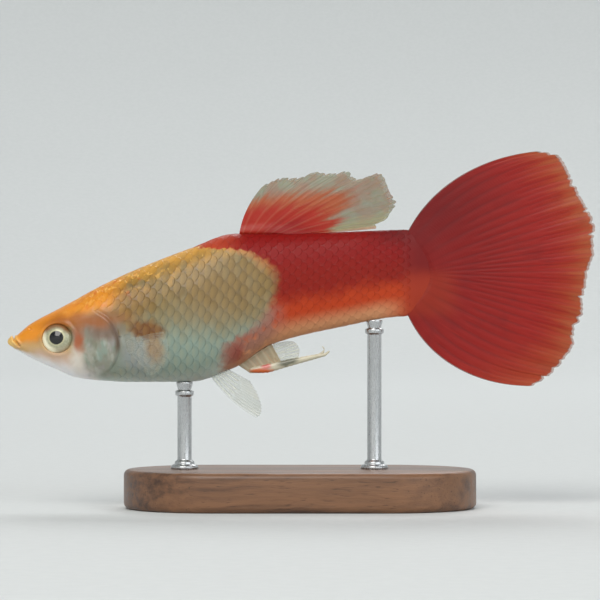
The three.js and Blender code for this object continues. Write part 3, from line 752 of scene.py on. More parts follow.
def build_scales(settings):
    """All scales as one mesh: each is a thin closed plate, sunk at its root and lifted at its rear edge."""
    roots = np.array(scale_roots(settings))
    a, b = np.meshgrid(SCALE_STEPS, SCALE_SIDES, indexing="ij")
    reach = a * (0.42 + 0.58 * np.sqrt(1 - 0.97 * b**2))
    spread = b * (0.72 + 0.28 * np.sin(math.pi * np.minimum(1, 0.25 + 0.6 * a)))
    lift = (settings.lift * smooth(roots[:, 0], BODY_LENGTH, BODY_LENGTH - 5.0))[:, None, None]
    sunk = (SCALE_SINK * smooth(roots[:, 0], SCALE_TO - 2.2, SCALE_TO))[:, None, None]
    height = -SCALE_ROOT + (SCALE_ROOT + lift) * a**0.8 + SCALE_DOME * (1 - b**2) - sunk
    girth_length = np.interp(roots[:, 0], np.linspace(0.05, BODY_LENGTH - 0.05, GIRTH.steps), GIRTH.length)
    long = settings.length * roots[:, 3]
    x = roots[:, 0, None, None] + long[:, None, None] * reach
    x = np.minimum(x, BODY_LENGTH - 0.25)
    half_share = settings.width / settings.rows * roots[:, 3]
    share = roots[:, 1, None, None] + half_share[:, None, None] * spread
    side = roots[:, 2, None, None] * np.ones_like(x)
    rim = np.maximum(np.abs(b) ** 3, a**3)
    tops = side_points(x, share, side, height)
    unders = side_points(x, share, side, height - SCALE_THICK)
    count, rows, columns = x.shape
    points = np.stack([tops, unders], axis=1).reshape(-1, 3)
    each = 2 * rows * columns

    def cell(face, i, j):
        return face * rows * columns + i * columns + j

    faces = []
    for i in range(rows - 1):
        for j in range(columns - 1):
            quad = (cell(0, i, j), cell(0, i, j + 1), cell(0, i + 1, j + 1), cell(0, i + 1, j))
            faces.append(quad)
            faces.append(tuple(rows * columns + k for k in reversed(quad)))
    border = [(0, j) for j in range(columns)] + [(i, columns - 1) for i in range(1, rows)]
    border += [(rows - 1, j) for j in range(columns - 2, -1, -1)] + [(i, 0) for i in range(rows - 2, 0, -1)]
    for (i, j), (k, m) in zip(border, border[1:] + border[:1]):
        faces.append((cell(0, k, m), cell(0, i, j), cell(1, i, j), cell(1, k, m)))
    faces = (np.array(faces)[None] + each * np.arange(count)[:, None, None]).reshape(-1, 4)
    mesh = bpy.data.meshes.new("fish_scales")
    mesh.from_pydata(world(points).tolist(), [], faces.tolist())
    scales = bpy.data.objects.new("fish_scales", mesh)
    bpy.context.scene.collection.objects.link(scales)
    set_attribute(scales, "girth", np.repeat(np.clip(share, 0, 1)[:, None], 2, 1))
    set_attribute(scales, "rim", np.broadcast_to(rim, (count, 2, rows, columns)))
    tones = np.random.default_rng(11).random(count)
    set_attribute(scales, "tone", np.broadcast_to(tones[:, None, None, None], (count, 2, rows, columns)))
    turn = roots[:, 1] * roots[:, 2] * 0.5 + 0.5
    corner = np.stack([roots[:, 0] / BODY_LENGTH, turn], axis=-1)
    local = np.stack([reach, (b + 1) / 2], axis=-1) * 0.003
    patch = corner[:, None, None, None] + np.broadcast_to(local, (count, 2, rows, columns, 2))
    loops = np.empty(len(mesh.loops), int)
    mesh.loops.foreach_get("vertex_index", loops)
    layer = mesh.uv_layers.new(name="OFBake")
    layer.data.foreach_set("uv", patch.reshape(-1, 2)[loops].astype(np.float32).ravel())
    turn_faces_out(scales)
    return finish_piece(scales, scale_finish())


# Eyes

def eye_finish():
    """Pale grey-green iris round a black pupil under a clear lens, with a painted highlight in front and painted brow
    shade above.
    """
    f = Finish("fish_eye")
    reach = f.attribute("reach")
    place = f.fish_place()
    x, _, z = f.parts(place)
    grain = f.noise(f.stretch(place, (1, 0.2, 1)), 7.0, 4, 0.6)
    ring = f.math("ADD", reach, f.math("MULTIPLY", f.math("SUBTRACT", grain, 0.5), 0.03))
    colour = f.blend(f.rise(grain, 0.35, 0.7), srgb(152, 152, 126), srgb(178, 178, 150))
    colour = f.blend(f.math("MULTIPLY", f.rise(ring, 0.62, 0.5), 0.6), colour, srgb(196, 190, 150))
    low = f.math("MULTIPLY", f.rise(ring, 0.55, 0.8), f.rise(z, 0.0, -0.5))
    colour = f.blend(f.math("MULTIPLY", low, 0.6), colour, srgb(192, 178, 150))
    # painted shade: the brow's shadow over the top of the iris, in brown
    top = f.math("MULTIPLY", f.rise(ring, 0.5, 0.85), f.rise(z, 0.4, 1.0))
    colour = f.blend(f.math("MULTIPLY", top, 0.9), colour, srgb(136, 84, 36))
    # painted highlight: a bright catch-light crescent on the front and lower front of the iris
    lit = f.rise(f.math("ADD", x, f.math("MULTIPLY", z, 0.6)), 3.7, 3.05)
    front = f.math("MULTIPLY", f.rise(ring, 0.56, 0.76), lit)
    colour = f.blend(f.math("MULTIPLY", front, 0.95), colour, srgb(255, 248, 216))
    colour = f.blend(f.rise(ring, 0.47, 0.43), colour, (0.004, 0.004, 0.005))
    colour = f.blend(f.rise(ring, 0.95, 1.0, 0.0, 0.4), colour, srgb(170, 140, 100))
    f.set(
        Base_Color=colour,
        Metallic=f.rise(ring, 0.44, 0.52, 0.0, 0.2),
        Roughness=f.rise(ring, 0.42, 0.5, 0.1, 0.34),
        Coat_Weight=0.32,
        Coat_Roughness=0.03,
        Normal=f.relief(grain, 0.01, 0.5),
    )
    return f.material


def build_eyes(settings):
    material = eye_finish()
    for label, side in (("left", -1), ("right", 1)):
        deselect_all()
        bpy.ops.mesh.primitive_uv_sphere_add(segments=settings.eye_sides, ring_count=settings.eye_sides, radius=1.0)
        eye = name_new("fish_eye_" + label)
        ball = read_points(eye)
        reach = np.hypot(ball[:, 0], ball[:, 1])
        off_pupil = np.hypot(ball[:, 0] - PUPIL_SHIFT * (1 - reach**2), ball[:, 1])
        set_attribute(eye, "reach", np.where(ball[:, 2] > 0, off_pupil, 1))
        flat = np.sign(ball[:, 2]) * np.sqrt(np.clip(1 - reach**2, 0, 1))
        lens = 0.07 * bump(off_pupil, 0.0, PUPIL_RADIUS / EYE_RADIUS * 0.9)
        outer = flat * EYE_HALF + np.where(ball[:, 2] > 0, lens, 0)
        local = np.stack([ball[:, 0] * EYE_RADIUS * EYE_STRETCH, outer, ball[:, 1] * EYE_RADIUS], axis=-1)
        roll, yaw = math.radians(EYE_ROLL), math.radians(EYE_YAW)
        x, y, z = local.T
        y, z = y * math.cos(roll) - z * math.sin(roll), y * math.sin(roll) + z * math.cos(roll)
        x, y = x * math.cos(yaw) - y * math.sin(yaw), x * math.sin(yaw) + y * math.cos(yaw)
        points = np.stack([x + EYE_CENTRE[0], side * (y + EYE_CENTRE[1]), z + EYE_CENTRE[2]], axis=-1)
        write_points(eye, world(points))
        turn_faces_out(eye)
        finish_piece(eye, material, ("eye_" + label,))


# Fins

def ray_crest(u, rays):
    """One on the crest of each ray and nought between rays."""
    return 1 - np.abs(2 * ((u * rays) % 1) - 1)


def branching(u, v, rays, forks):
    """Crests of rays that fork in two at each of the given shares of their length."""
    crest = ray_crest(u, rays)
    for order, fork in enumerate(forks, start=1):
        crest = mix(crest, ray_crest(u, rays * 2**order), smooth(v, fork, fork + 0.14))
    return crest


def wander(u, seed, count=9):
    """A steady, uneven line along the margin, between -1 and 1."""
    chance = np.random.default_rng(seed)
    total = np.zeros_like(u)
    for k in range(1, count + 1):
        total += chance.normal(0, 1 / k**0.5) * np.sin(2 * math.pi * (k * 1.7 * u + chance.random()))
    return np.clip(total / 2.5, -1, 1)


def splits(u, count, seed, depth):
    """Narrow splits of the margin between ray tips, each with its own place and depth."""
    chance = np.random.default_rng(seed)
    total = np.zeros_like(u)
    for k in range(1, count):
        place = (k + chance.uniform(-0.3, 0.3)) / count
        total += depth * chance.random() ** 1.5 * bump(u, place, chance.uniform(0.004, 0.008))
    return total


def quadratic(a, b, c, t):
    t = t[:, None]
    return a * (1 - t) ** 2 + b * 2 * t * (1 - t) + c * t * t


def spline(points, t, knots=None):
    """A smooth line through points that are spread by the root of their distances."""
    points = np.array(points, float)
    if knots is None:
        gaps = np.linalg.norm(np.diff(points, axis=0), axis=1) ** 0.5
        knots = np.concatenate([[0], np.cumsum(gaps)]) / gaps.sum()
    t = np.asarray(t)
    i = np.clip(np.searchsorted(knots, t) - 1, 0, len(points) - 2)
    slopes = np.gradient(points, knots, axis=0)
    span = (knots[i + 1] - knots[i])[:, None]
    s = ((t - knots[i])[:, None]) / span
    return (
        points[i] * (2 * s**3 - 3 * s**2 + 1)
        + slopes[i] * span * (s**3 - 2 * s**2 + s)
        + points[i + 1] * (3 * s**2 - 2 * s**3)
        + slopes[i + 1] * span * (s**3 - s**2)
    )


def even_line(values, t):
    """A smooth line through values that are evenly spread."""
    places = np.linspace(0, 1, len(values))
    return spline(np.stack([places, values], axis=-1), t, places)[:, 1]


def build_fin(name, columns, rows, place, crest, edge, thickness, material, nodes):
    """A sheet whose rays run from root (v = 0) to margin (v = 1), thickened along its rays."""
    deselect_all()
    bpy.ops.mesh.primitive_grid_add(x_subdivisions=columns, y_subdivisions=rows, size=2)
    fin = name_new(name)
    flat = read_points(fin)
    u, v = (flat[:, 0] + 1) / 2, (flat[:, 1] + 1) / 2
    write_points(fin, world(place(u, v)))
    ridge = crest(u, v)
    web, ray, rim, root = thickness
    risen = ridge * (1 - 0.6 * v) * smooth(v, 0.0, 0.3)
    heavy = mix(mix(web, ray, risen), rim, smooth(v, 0.8, 1.0) * 0.8)
    heavy = np.maximum(heavy, mix(heavy, root, smooth(v, 0.2, 0.04))) * smooth(v, -0.02, 0.06)
    thickest = heavy.max()
    group = fin.vertex_groups.new(name="thickness")
    for index, weight in enumerate(heavy / thickest):
        group.add([index], float(weight), "REPLACE")
    set_attribute(fin, "ray", ridge)
    set_attribute(fin, "edge", edge(u, v))
    apply_modifier(fin, "SOLIDIFY", thickness=thickest * MM, offset=0, vertex_group="thickness", use_rim=True)
    turn_faces_out(fin)
    return finish_piece(fin, material, nodes)


def along_and_across(f):
    """Shares along the margin and along the rays, from the fin's own map."""
    u, v, _ = f.parts(f.node("ShaderNodeUVMap", uv_map="UVMap").outputs["UV"])
    return u, v


def streaks(f, u, v, count, stretch=0.25, detail=3.0):
    """Long thin streaks that follow the rays."""
    combined = f.node("ShaderNodeCombineXYZ")
    f.put(combined.inputs[0], f.math("MULTIPLY", u, count))
    f.put(combined.inputs[1], f.math("MULTIPLY", v, count * stretch))
    return f.noise(combined.outputs[0], 1.0, detail, 0.6)


def segments(f, v, count):
    """The fine joints of the rays, as a ripple along them."""
    return f.math("SINE", f.math("MULTIPLY", v, count))


TAIL_RED = srgb(126, 18, 16)
TAIL_BRIGHT = srgb(142, 26, 20)
TAIL_ORANGE = srgb(154, 56, 28)
TAIL_MARGIN = srgb(152, 88, 50)
TAIL_DARK = srgb(92, 14, 18)
TAIL_GLINT = srgb(164, 46, 32)
FIN_PALE = srgb(158, 112, 84)
DORSAL_DEEP = srgb(140, 22, 18)
DORSAL_RED = srgb(158, 36, 20)
DORSAL_ORANGE = srgb(164, 82, 46)
DORSAL_TAN = srgb(136, 112, 84)
DORSAL_PALE = srgb(128, 130, 102)


def tail_finish():
    f = Finish("tail_fin")
    u, v = along_and_across(f)
    ray, edge = f.attribute("ray"), f.attribute("edge")
    place = f.fish_place()
    x, _, z = f.parts(place)
    streak = streaks(f, u, v, 60, 0.05)
    fine = streaks(f, u, v, 150, 0.03)
    blotch = f.noise(place, 0.35, 2)
    reach = f.math("ADD", v, f.math("MULTIPLY", f.math("SUBTRACT", streak, 0.5), 0.3))
    colour = f.blend(f.rise(reach, 0.25, 0.75), TAIL_RED, TAIL_BRIGHT)
    lower = f.math("MULTIPLY", f.rise(u, 0.45, 0.8), f.rise(reach, 0.0, 0.5))
    colour = f.blend(f.math("MULTIPLY", lower, 0.55), colour, TAIL_BRIGHT)
    colour = f.blend(f.rise(reach, 0.72, 1.0), colour, TAIL_ORANGE)
    colour = f.blend(f.rise(reach, 0.86, 1.04, 0.0, 0.75), colour, TAIL_MARGIN)
    ragged = f.math("ADD", x, f.math("MULTIPLY", f.math("SUBTRACT", streak, 0.5), 1.6))
    root = f.math("MULTIPLY", f.rise(z, 5.9, 4.7), f.rise(ragged, 35.2, 33.2))
    root = f.math("MULTIPLY", root, f.rise(z, 1.4, 2.6))
    colour = f.blend(f.math("MULTIPLY", root, 0.75), colour, STALK_ORANGE)
    corner = f.math("MULTIPLY", f.rise(u, 0.75, 0.97), f.rise(v, 0.5, 0.95))
    colour = f.blend(f.math("MULTIPLY", corner, 0.6), colour, TAIL_ORANGE)
    shade = f.math("MULTIPLY", f.rise(u, 0.3, 0.02), f.rise(v, 0.9, 0.3))
    colour = f.blend(f.math("MULTIPLY", shade, 0.5), colour, TAIL_DARK)
    colour = f.blend(f.math("MULTIPLY", f.rise(blotch, 0.55, 0.75), 0.25), colour, TAIL_DARK)
    shown = f.math("MULTIPLY", f.rise(v, 0.05, 0.3, 0.0, 0.3), f.rise(v, 0.9, 0.5, 0.25, 1.0))
    between = f.math("MULTIPLY", f.rise(ray, 0.5, 0.05), shown)
    colour = f.blend(between, colour, TAIL_DARK)
    # painted highlights: thin glints along the rays in the middle of the tail
    middle = f.math("MULTIPLY", f.rise(u, 0.15, 0.4), f.rise(v, 0.08, 0.2))
    ray_glints = f.math("MULTIPLY", f.rise(fine, 0.58, 0.72), f.math("MULTIPLY", middle, 0.5))
    colour = f.blend(ray_glints, colour, TAIL_GLINT)
    colour = f.blend(f.rise(edge, 0.5, 1.0, 0.0, 0.8), colour, FIN_PALE)
    cover = f.math("MULTIPLY", f.rise(edge, 1.0, 0.3, 0.35, 1.0), f.rise(ray, 0.0, 0.6, 0.9, 0.98))
    f.set(
        Base_Color=colour,
        Alpha=cover,
        Roughness=0.46,
        Specular_IOR_Level=0.2,
        Coat_Weight=0.08,
        Coat_Roughness=0.2,
        Subsurface_Weight=0.2,
        Subsurface_Radius=(1.0, 0.3, 0.2),
        Subsurface_Scale=0.4 * MM,
        Normal=f.relief(f.math("MULTIPLY", segments(f, v, 420), ray), 0.004, 0.5),
    )
    return f.material


TAIL_RAYS = 15
TAIL_ROOT_ANGLE = 80
TAIL_TIP_ANGLE = 41
TAIL_FAN = 22
TAIL_SUNK = 0.09
TAIL_RISE = 0.12
TAIL_SWAY = 0.35
TAIL_REACH = (
    14.0, 15.0, 15.05, 15.08, 15.02, 15.25, 15.45, 15.05, 14.9, 14.4,
    14.26, 14.2, 14.38, 14.15, 14.5, 14.4, 14.25, 13.95, 13.4,
)


def tail_place(u, v):
    """The fan of the tail, round the hub of the stalk, with its root sunk in the stalk."""
    v = v * (1 + TAIL_SUNK) - TAIL_SUNK
    margin = even_line(TAIL_REACH, u)
    teeth = 0.05 * (ray_crest(u, TAIL_RAYS * 4) - 0.5) + 0.07 * wander(u, 3, 30)
    margin = margin + teeth - splits(u, 28, 5, 0.3)
    start = HUB_RADIUS - 0.3
    aside = 1 - 2 * u
    side_angle = np.radians(mix(TAIL_ROOT_ANGLE, TAIL_TIP_ANGLE, np.maximum(v, 0) ** mix(0.85, 1.0, u))) * aside
    side_reach = mix(start, margin, v)
    along_side = np.stack([side_reach * np.cos(side_angle), side_reach * np.sin(side_angle)])
    root_angle = np.radians(TAIL_FAN * aside + (TAIL_ROOT_ANGLE - TAIL_FAN) * aside**3)
    tip_angle = np.radians(TAIL_TIP_ANGLE) * aside
    root = start * np.stack([np.cos(root_angle), np.sin(root_angle)])
    tip = margin * np.stack([np.cos(tip_angle), np.sin(tip_angle)])
    flat = mix(mix(root, tip, v), along_side, aside**2)
    y = TAIL_SWAY * v * v * np.sin(7.5 * u + 1.2)
    y += 0.04 * smooth(v, 0.3, 1) * np.sin(2 * math.pi * TAIL_RAYS * u) * v
    return np.stack([TAIL_HUB[0] + flat[0], y, TAIL_HUB[1] + TAIL_RISE * v + flat[1]], axis=-1)


def build_tail_fin(settings):
    return build_fin(
        "tail_fin_film",
        settings.tail_columns,
        settings.tail_rows,
        tail_place,
        lambda u, v: branching(u, v, TAIL_RAYS, (0.25, 0.62)),
        lambda u, v: np.maximum(smooth(v, 0.96, 1.0), 0.7 * smooth(np.abs(2 * u - 1), 0.982, 0.994)),
        (0.09, 0.16, 0.06, 0.42),
        tail_finish(),
        ("tail_fin",),
    )


def dorsal_finish():
    """Red at its base, in orange streaks beyond, then clear pale green to its ragged margin."""
    f = Finish("dorsal_fin")
    u, v = along_and_across(f)
    ray, edge = f.attribute("ray"), f.attribute("edge")
    streak = streaks(f, u, v, 16, 0.08)
    fine = streaks(f, u, v, 70, 0.04)
    cloud = f.noise(f.fish_place(), 0.8, 3)
    wander_by = f.math("ADD", f.math("SUBTRACT", streak, 0.5), f.math("MULTIPLY", f.math("SUBTRACT", fine, 0.5), 0.6))
    reach = f.math("ADD", v, f.math("MULTIPLY", wander_by, 0.5))
    further = f.math("ADD", reach, f.math("SUBTRACT", f.rise(u, 0.62, 0.86, 0.0, 0.3), f.rise(u, 0.3, 0.55, 0.0, 0.06)))
    orange = f.rise(further, 0.84, 0.52)
    red = f.rise(reach, 0.56, 0.34)
    deep = f.math("MULTIPLY", f.rise(reach, 0.36, 0.14), f.rise(u, 0.25, 0.6))
    colour = f.blend(f.rise(cloud, 0.4, 0.62), DORSAL_PALE, DORSAL_TAN)
    colour = f.blend(f.rise(u, 0.8, 0.95, 0.0, 0.8), colour, srgb(150, 148, 90))
    colour = f.blend(orange, colour, DORSAL_ORANGE)
    colour = f.blend(red, colour, DORSAL_RED)
    colour = f.blend(deep, colour, DORSAL_DEEP)
    colour = f.blend(f.rise(u, 0.965, 0.995, 0.0, 0.7), colour, srgb(206, 150, 118))
    colour = f.blend(f.math("MULTIPLY", f.rise(ray, 0.6, 1.0), 0.07), colour, srgb(214, 190, 150))
    solid = f.math("MAXIMUM", f.math("MULTIPLY", orange, 0.7), red)
    cover = f.math("MAXIMUM", f.rise(solid, 0.0, 1.0, 0.6, 0.97), f.rise(ray, 0.5, 1.0, 0.5, 0.76))
    cover = f.math("MULTIPLY", cover, f.rise(edge, 1.0, 0.0, 0.8, 1.0))
    f.set(
        Base_Color=colour,
        Alpha=cover,
        Roughness=0.42,
        Specular_IOR_Level=0.25,
        Coat_Weight=0.1,
        Coat_Roughness=0.2,
        Subsurface_Weight=0.2,
        Subsurface_Radius=(1.0, 0.35, 0.22),
        Subsurface_Scale=0.4 * MM,
        Normal=f.relief(f.math("MULTIPLY", segments(f, v, 260), ray), 0.003, 0.5),
    )
    return f.material


DORSAL_RAYS = 8
DORSAL_ROOT = (17.75, 21.6)
DORSAL_SWAY = 0.3
DORSAL_MARGIN = (
    (19.5, 11.88), (20.6, 12.42), (21.25, 12.62), (22.4, 12.6), (23.6, 12.98), (24.5, 12.86),
    (25.4, 12.93), (26.1, 13.06), (26.55, 12.5), (27.1, 12.44), (27.8, 12.72), (28.55, 12.86),
    (29.0, 12.25), (29.42, 11.35), (29.8, 10.62), (29.42, 10.02), (28.95, 9.35), (28.3, 9.0), (28.25, 8.66),
)


def dorsal_place(u, v):
    """A swept flag over the back, with its front ray nearly upright and its last ones lying back."""
    x = mix(DORSAL_ROOT[0], DORSAL_ROOT[1], u)
    zero = np.zeros_like(x)
    root = np.stack([x, zero, along(BACK, x) - 0.12], axis=-1)
    margin = spline(DORSAL_MARGIN, u)
    tip = np.stack([margin[:, 0], zero, margin[:, 1]], axis=-1)
    far = np.linalg.norm(tip - root, axis=1)
    teeth = 0.05 * (ray_crest(u, DORSAL_RAYS * 4) - 0.5) + 0.06 * wander(u, 8, 24)
    tip = root + (tip - root) * (1 + (teeth - splits(u, 22, 9, 0.3)) / far)[:, None]
    lift = np.radians(mix(82, 3.5, u**0.8))
    bend = root + np.stack([np.cos(lift), zero, np.sin(lift)], axis=-1) * (0.5 * far)[:, None]
    points = quadratic(root, bend, tip, v)
    points[:, 1] = DORSAL_SWAY * v * v * np.sin(6 * u + 0.6)
    return points


def build_dorsal_fin(settings):
    return build_fin(
        "dorsal_fin_film",
        settings.dorsal_columns,
        settings.dorsal_rows,
        dorsal_place,
        lambda u, v: branching(u, v, DORSAL_RAYS, (0.4, 0.72)),
        lambda u, v: smooth(v, 0.93, 1.0),
        (0.08, 0.14, 0.06, 0.35),
        dorsal_finish(),
        ("dorsal_fin",),
    )


def clear_finish(name, tint, streak_tone, least, most, pale=0.5):
    """Glassy film with pale rays."""
    f = Finish(name)
    u, v = along_and_across(f)
    ray, edge = f.attribute("ray"), f.attribute("edge")
    streak = streaks(f, u, v, 16, 0.1)
    colour = f.blend(f.rise(streak, 0.45, 0.7), tint, streak_tone)
    colour = f.blend(f.rise(ray, 0.4, 1.0, 0.0, pale), colour, srgb(226, 226, 206))
    cover = f.math("MAXIMUM", f.rise(ray, 0.35, 1.0, least, most), f.rise(v, 0.3, 0.0, least, most))
    f.set(
        Base_Color=colour,
        Alpha=cover,
        Roughness=0.3,
        Coat_Weight=0.3,
        Coat_Roughness=0.15,
        Normal=f.relief(f.math("MULTIPLY", segments(f, v, 90), ray), 0.003, 0.3),
    )
    return f.material


PECTORAL_ROOT = ((9.15, 3.02, 0.2), (9.3, 3.02, -0.66))
PECTORAL_MARGIN = ((12.1, 5.35, 0.85), (12.55, 5.6, -0.1), (12.45, 5.5, -1.1), (11.95, 5.2, -1.95), (11.2, 4.75, -2.5))
PECTORAL_BOW = (-0.15, 0.3, 0)
PELVIC_ROOT = ((15.55, 0.5, -2.6), (16.9, 0.5, -2.1))
PELVIC_MARGIN = (
    (19.05, 1.85, -5.75), (19.4, 1.82, -5.45), (19.35, 1.7, -4.7), (19.0, 1.5, -3.8), (18.5, 1.25, -3.0),
)
PELVIC_BOW = (-0.55, 0.05, -0.3)


def paired_place(root, margin, bow, side, rays, inward=0.0):
    """A paired fin's sheet, given as it stands on the right side, with the front ray first."""

    def place(u, v):
        start = mix(np.array(root[0])[None], np.array(root[1])[None], u[:, None])
        start[:, 1] -= inward
        tip = spline(margin, u)
        ragged = 0.05 * ray_crest(u, rays * 2)[:, None] + 0.03 * wander(u, rays)[:, None]
        tip = tip + (tip - start) * ragged / np.linalg.norm(tip - start, axis=1)[:, None]
        bend = (start + tip) / 2 + np.array(bow)[None] * (1 - u[:, None])
        points = quadratic(start, bend, tip, v)
        points[:, 1] = side * points[:, 1]
        return points

    return place


def build_paired_fins(settings):
    pectoral = clear_finish("pectoral_fin", srgb(176, 180, 164), srgb(190, 170, 132), 0.05, 0.17)
    pelvic = clear_finish("pelvic_fin", srgb(176, 186, 182), srgb(200, 200, 188), 0.14, 0.4)
    for label, side in (("left", -1), ("right", 1)):
        build_fin(
            "pectoral_fin_film_" + label,
            settings.paired_columns,
            settings.paired_rows,
            paired_place(PECTORAL_ROOT, PECTORAL_MARGIN, PECTORAL_BOW, side, 11, 0.28),
            lambda u, v: branching(u, v, 11, (0.5,)),
            lambda u, v: smooth(v, 0.93, 1.0),
            (0.04, 0.1, 0.035, 0.1),
            pectoral,
            ("pectoral_fin_" + label,),
        )
        build_fin(
            "pelvic_fin_film_" + label,
            settings.paired_columns,
            settings.paired_rows,
            paired_place(PELVIC_ROOT, PELVIC_MARGIN, PELVIC_BOW, side, 6),
            lambda u, v: branching(u, v, 6, (0.45,)),
            lambda u, v: smooth(v, 0.93, 1.0),
            (0.04, 0.1, 0.035, 0.1),
            pelvic,
            ("pelvic_fin_" + label,),
        )


WEB_ROOT = ((17.6, -1.75), (20.2, -0.1))
WEB_MARGIN = ((18.6, -2.42), (20.0, -2.3), (21.0, -1.6))
LOBE_ROOT = ((19.7, -1.7), (20.4, -0.1))
LOBE_MARGIN = ((22.3, -1.3), (22.35, -0.5), (21.95, -0.02), (21.3, 0.0))
SPINE_PATH = ((18.5, -2.2), (19.9, -2.05), (21.6, -1.62), (23.4, -1.2), (24.72, -0.9))
SPINE_HALF = (0.2, 0.34, 0.28, 0.2, 0.11)
PRONG_PATH = ((23.6, -1.12), (24.05, -0.92), (24.3, -0.62), (24.12, -0.36))
PRONG_HALF = (0.08, 0.12, 0.1, 0.06)


def middle_place(root, margin, lean):
    def place(u, v):
        zero = np.zeros_like(u)
        start = mix(np.array(root[0])[None], np.array(root[1])[None], u[:, None])
        tip = spline(margin, u)
        flat = mix(start, tip, v[:, None])
        return np.stack([flat[:, 0], lean * np.sin(math.pi * v) + zero, flat[:, 1]], axis=-1)

    return place


def spine_finish():
    f = Finish("anal_spine")
    place = f.fish_place()
    uneven = f.warp(place, 0.3, 2.0)
    colour = f.blend(f.noise(place, 2.5, 3), srgb(190, 184, 156), srgb(214, 206, 184))
    colour = f.blend(f.patch(uneven, (19.4, -2.3), (1.0, 0.22), 0, 0.5), colour, srgb(206, 96, 40))
    colour = f.blend(f.patch(uneven, (19.8, -1.85), (0.35, 0.3), 0, 0.6), colour, srgb(206, 110, 100))
    colour = f.blend(f.patch(uneven, (21.5, -1.55), (0.8, 0.26), 15, 0.5), colour, srgb(96, 96, 76))
    f.set(Base_Color=colour, Alpha=0.86, Roughness=0.3, Coat_Weight=0.4, Coat_Roughness=0.12)
    return f.material


def build_ray(name, path, halves, hook, material):
    """A round ray along a path, with joints as ripples and a tip that turns up."""
    deselect_all()
    bpy.ops.mesh.primitive_uv_sphere_add(segments=24, ring_count=90, radius=1.0)
    ray = name_new(name)
    ball = read_points(ray)
    t = np.arccos(np.clip(ball[:, 2], -1, 1)) / math.pi
    turn = np.arctan2(ball[:, 1], ball[:, 0])
    middle = spline(path, t)
    half = np.interp(t * (len(halves) - 1), range(len(halves)), halves)
    half = half * np.sqrt(np.clip(1 - (2 * t - 1) ** 24, 0, 1)) * (1 + 0.05 * np.sin(110 * t))
    wide = np.minimum(half, 0.2)
    lifted = middle[:, 1] + hook * smooth(t, 0.93, 1.0)
    points = np.stack([middle[:, 0], wide * np.cos(turn), lifted + half * np.sin(turn)], axis=-1)
    write_points(ray, world(points))
    turn_faces_out(ray)
    finish_piece(ray, material)


def build_anal_fin(settings):
    web = clear_finish("anal_fin_web", srgb(164, 146, 112), srgb(184, 150, 112), 0.74, 0.85, 0.15)
    film = clear_finish("anal_fin_lobe", srgb(172, 178, 168), srgb(190, 186, 170), 0.3, 0.5)
    build_fin(
        "anal_fin_web",
        settings.paired_columns,
        settings.paired_rows,
        middle_place(WEB_ROOT, WEB_MARGIN, 0.03),
        lambda u, v: branching(u, v, 5, (0.6,)),
        lambda u, v: smooth(v, 0.93, 1.0),
        (0.12, 0.2, 0.12, 0.3),
        web,
        ("anal_fin",),
    )
    build_fin(
        "anal_fin_lobe",
        settings.paired_columns,
        settings.paired_rows,
        middle_place(LOBE_ROOT, LOBE_MARGIN, 0.08),
        lambda u, v: branching(u, v, 4, (0.5,)),
        lambda u, v: smooth(v, 0.93, 1.0),
        (0.05, 0.1, 0.04, 0.1),
        film,
        (),
    )
    horn = spine_finish()
    build_ray("anal_spine", SPINE_PATH, SPINE_HALF, 0.16, horn)
    build_ray("anal_prong", PRONG_PATH, PRONG_HALF, 0.0, horn)


# The stand

def wood_finish():
    f = Finish("stand_walnut")
    coordinates = f.node("ShaderNodeTexCoord").outputs["Object"]
    place = f.vector("SCALE", coordinates, scale=1 / MM)
    bent = f.warp(place, 1.6, 0.12)
    grain = f.noise(f.stretch(bent, (0.06, 1.0, 1.0)), 2.4, 6, 0.62)
    bands = f.noise(f.stretch(bent, (0.03, 0.6, 0.6)), 0.9, 3)
    pores = f.noise(f.stretch(place, (0.5, 6.0, 6.0)), 1.8, 2)
    colour = f.blend(f.rise(grain, 0.3, 0.7), srgb(64, 40, 26), srgb(112, 76, 50))
    colour = f.blend(f.rise(bands, 0.42, 0.62, 0.0, 0.5), colour, srgb(140, 98, 66))
    colour = f.blend(f.rise(pores, 0.62, 0.72, 0.0, 0.55), colour, srgb(30, 18, 12))
    f.set(
        Base_Color=colour,
        Roughness=f.rise(grain, 0.3, 0.7, 0.38, 0.52),
        Coat_Weight=0.2,
        Coat_Roughness=0.25,
        Normal=f.relief(f.math("ADD", f.math("MULTIPLY", pores, -1.0), grain), 0.03, 0.5),
    )
    return f.material


def steel_finish():
    f = Finish("stand_steel")
    coordinates = f.node("ShaderNodeTexCoord").outputs["Object"]
    place = f.vector("SCALE", coordinates, scale=1 / MM)
    brush = f.noise(f.stretch(place, (8.0, 8.0, 0.8)), 2.0, 3)
    f.set(
        Base_Color=f.blend(brush, srgb(176, 178, 180), srgb(206, 207, 208)),
        Metallic=1.0,
        Roughness=f.rise(brush, 0.3, 0.7, 0.2, 0.34),
        Normal=f.relief(brush, 0.006, 0.4),
    )
    return f.material


def select_edges(piece, chosen):
    """Selects the edges whose two ends pass a test on their places."""
    bpy.ops.object.mode_set(mode="EDIT")
    bpy.ops.mesh.select_mode(type="EDGE")
    bpy.ops.mesh.select_all(action="DESELECT")
    bpy.ops.object.mode_set(mode="OBJECT")
    points = piece.data.vertices
    for edge in piece.data.edges:
        edge.select = chosen(*(points[i].co for i in edge.vertices))
    bpy.ops.object.mode_set(mode="EDIT")


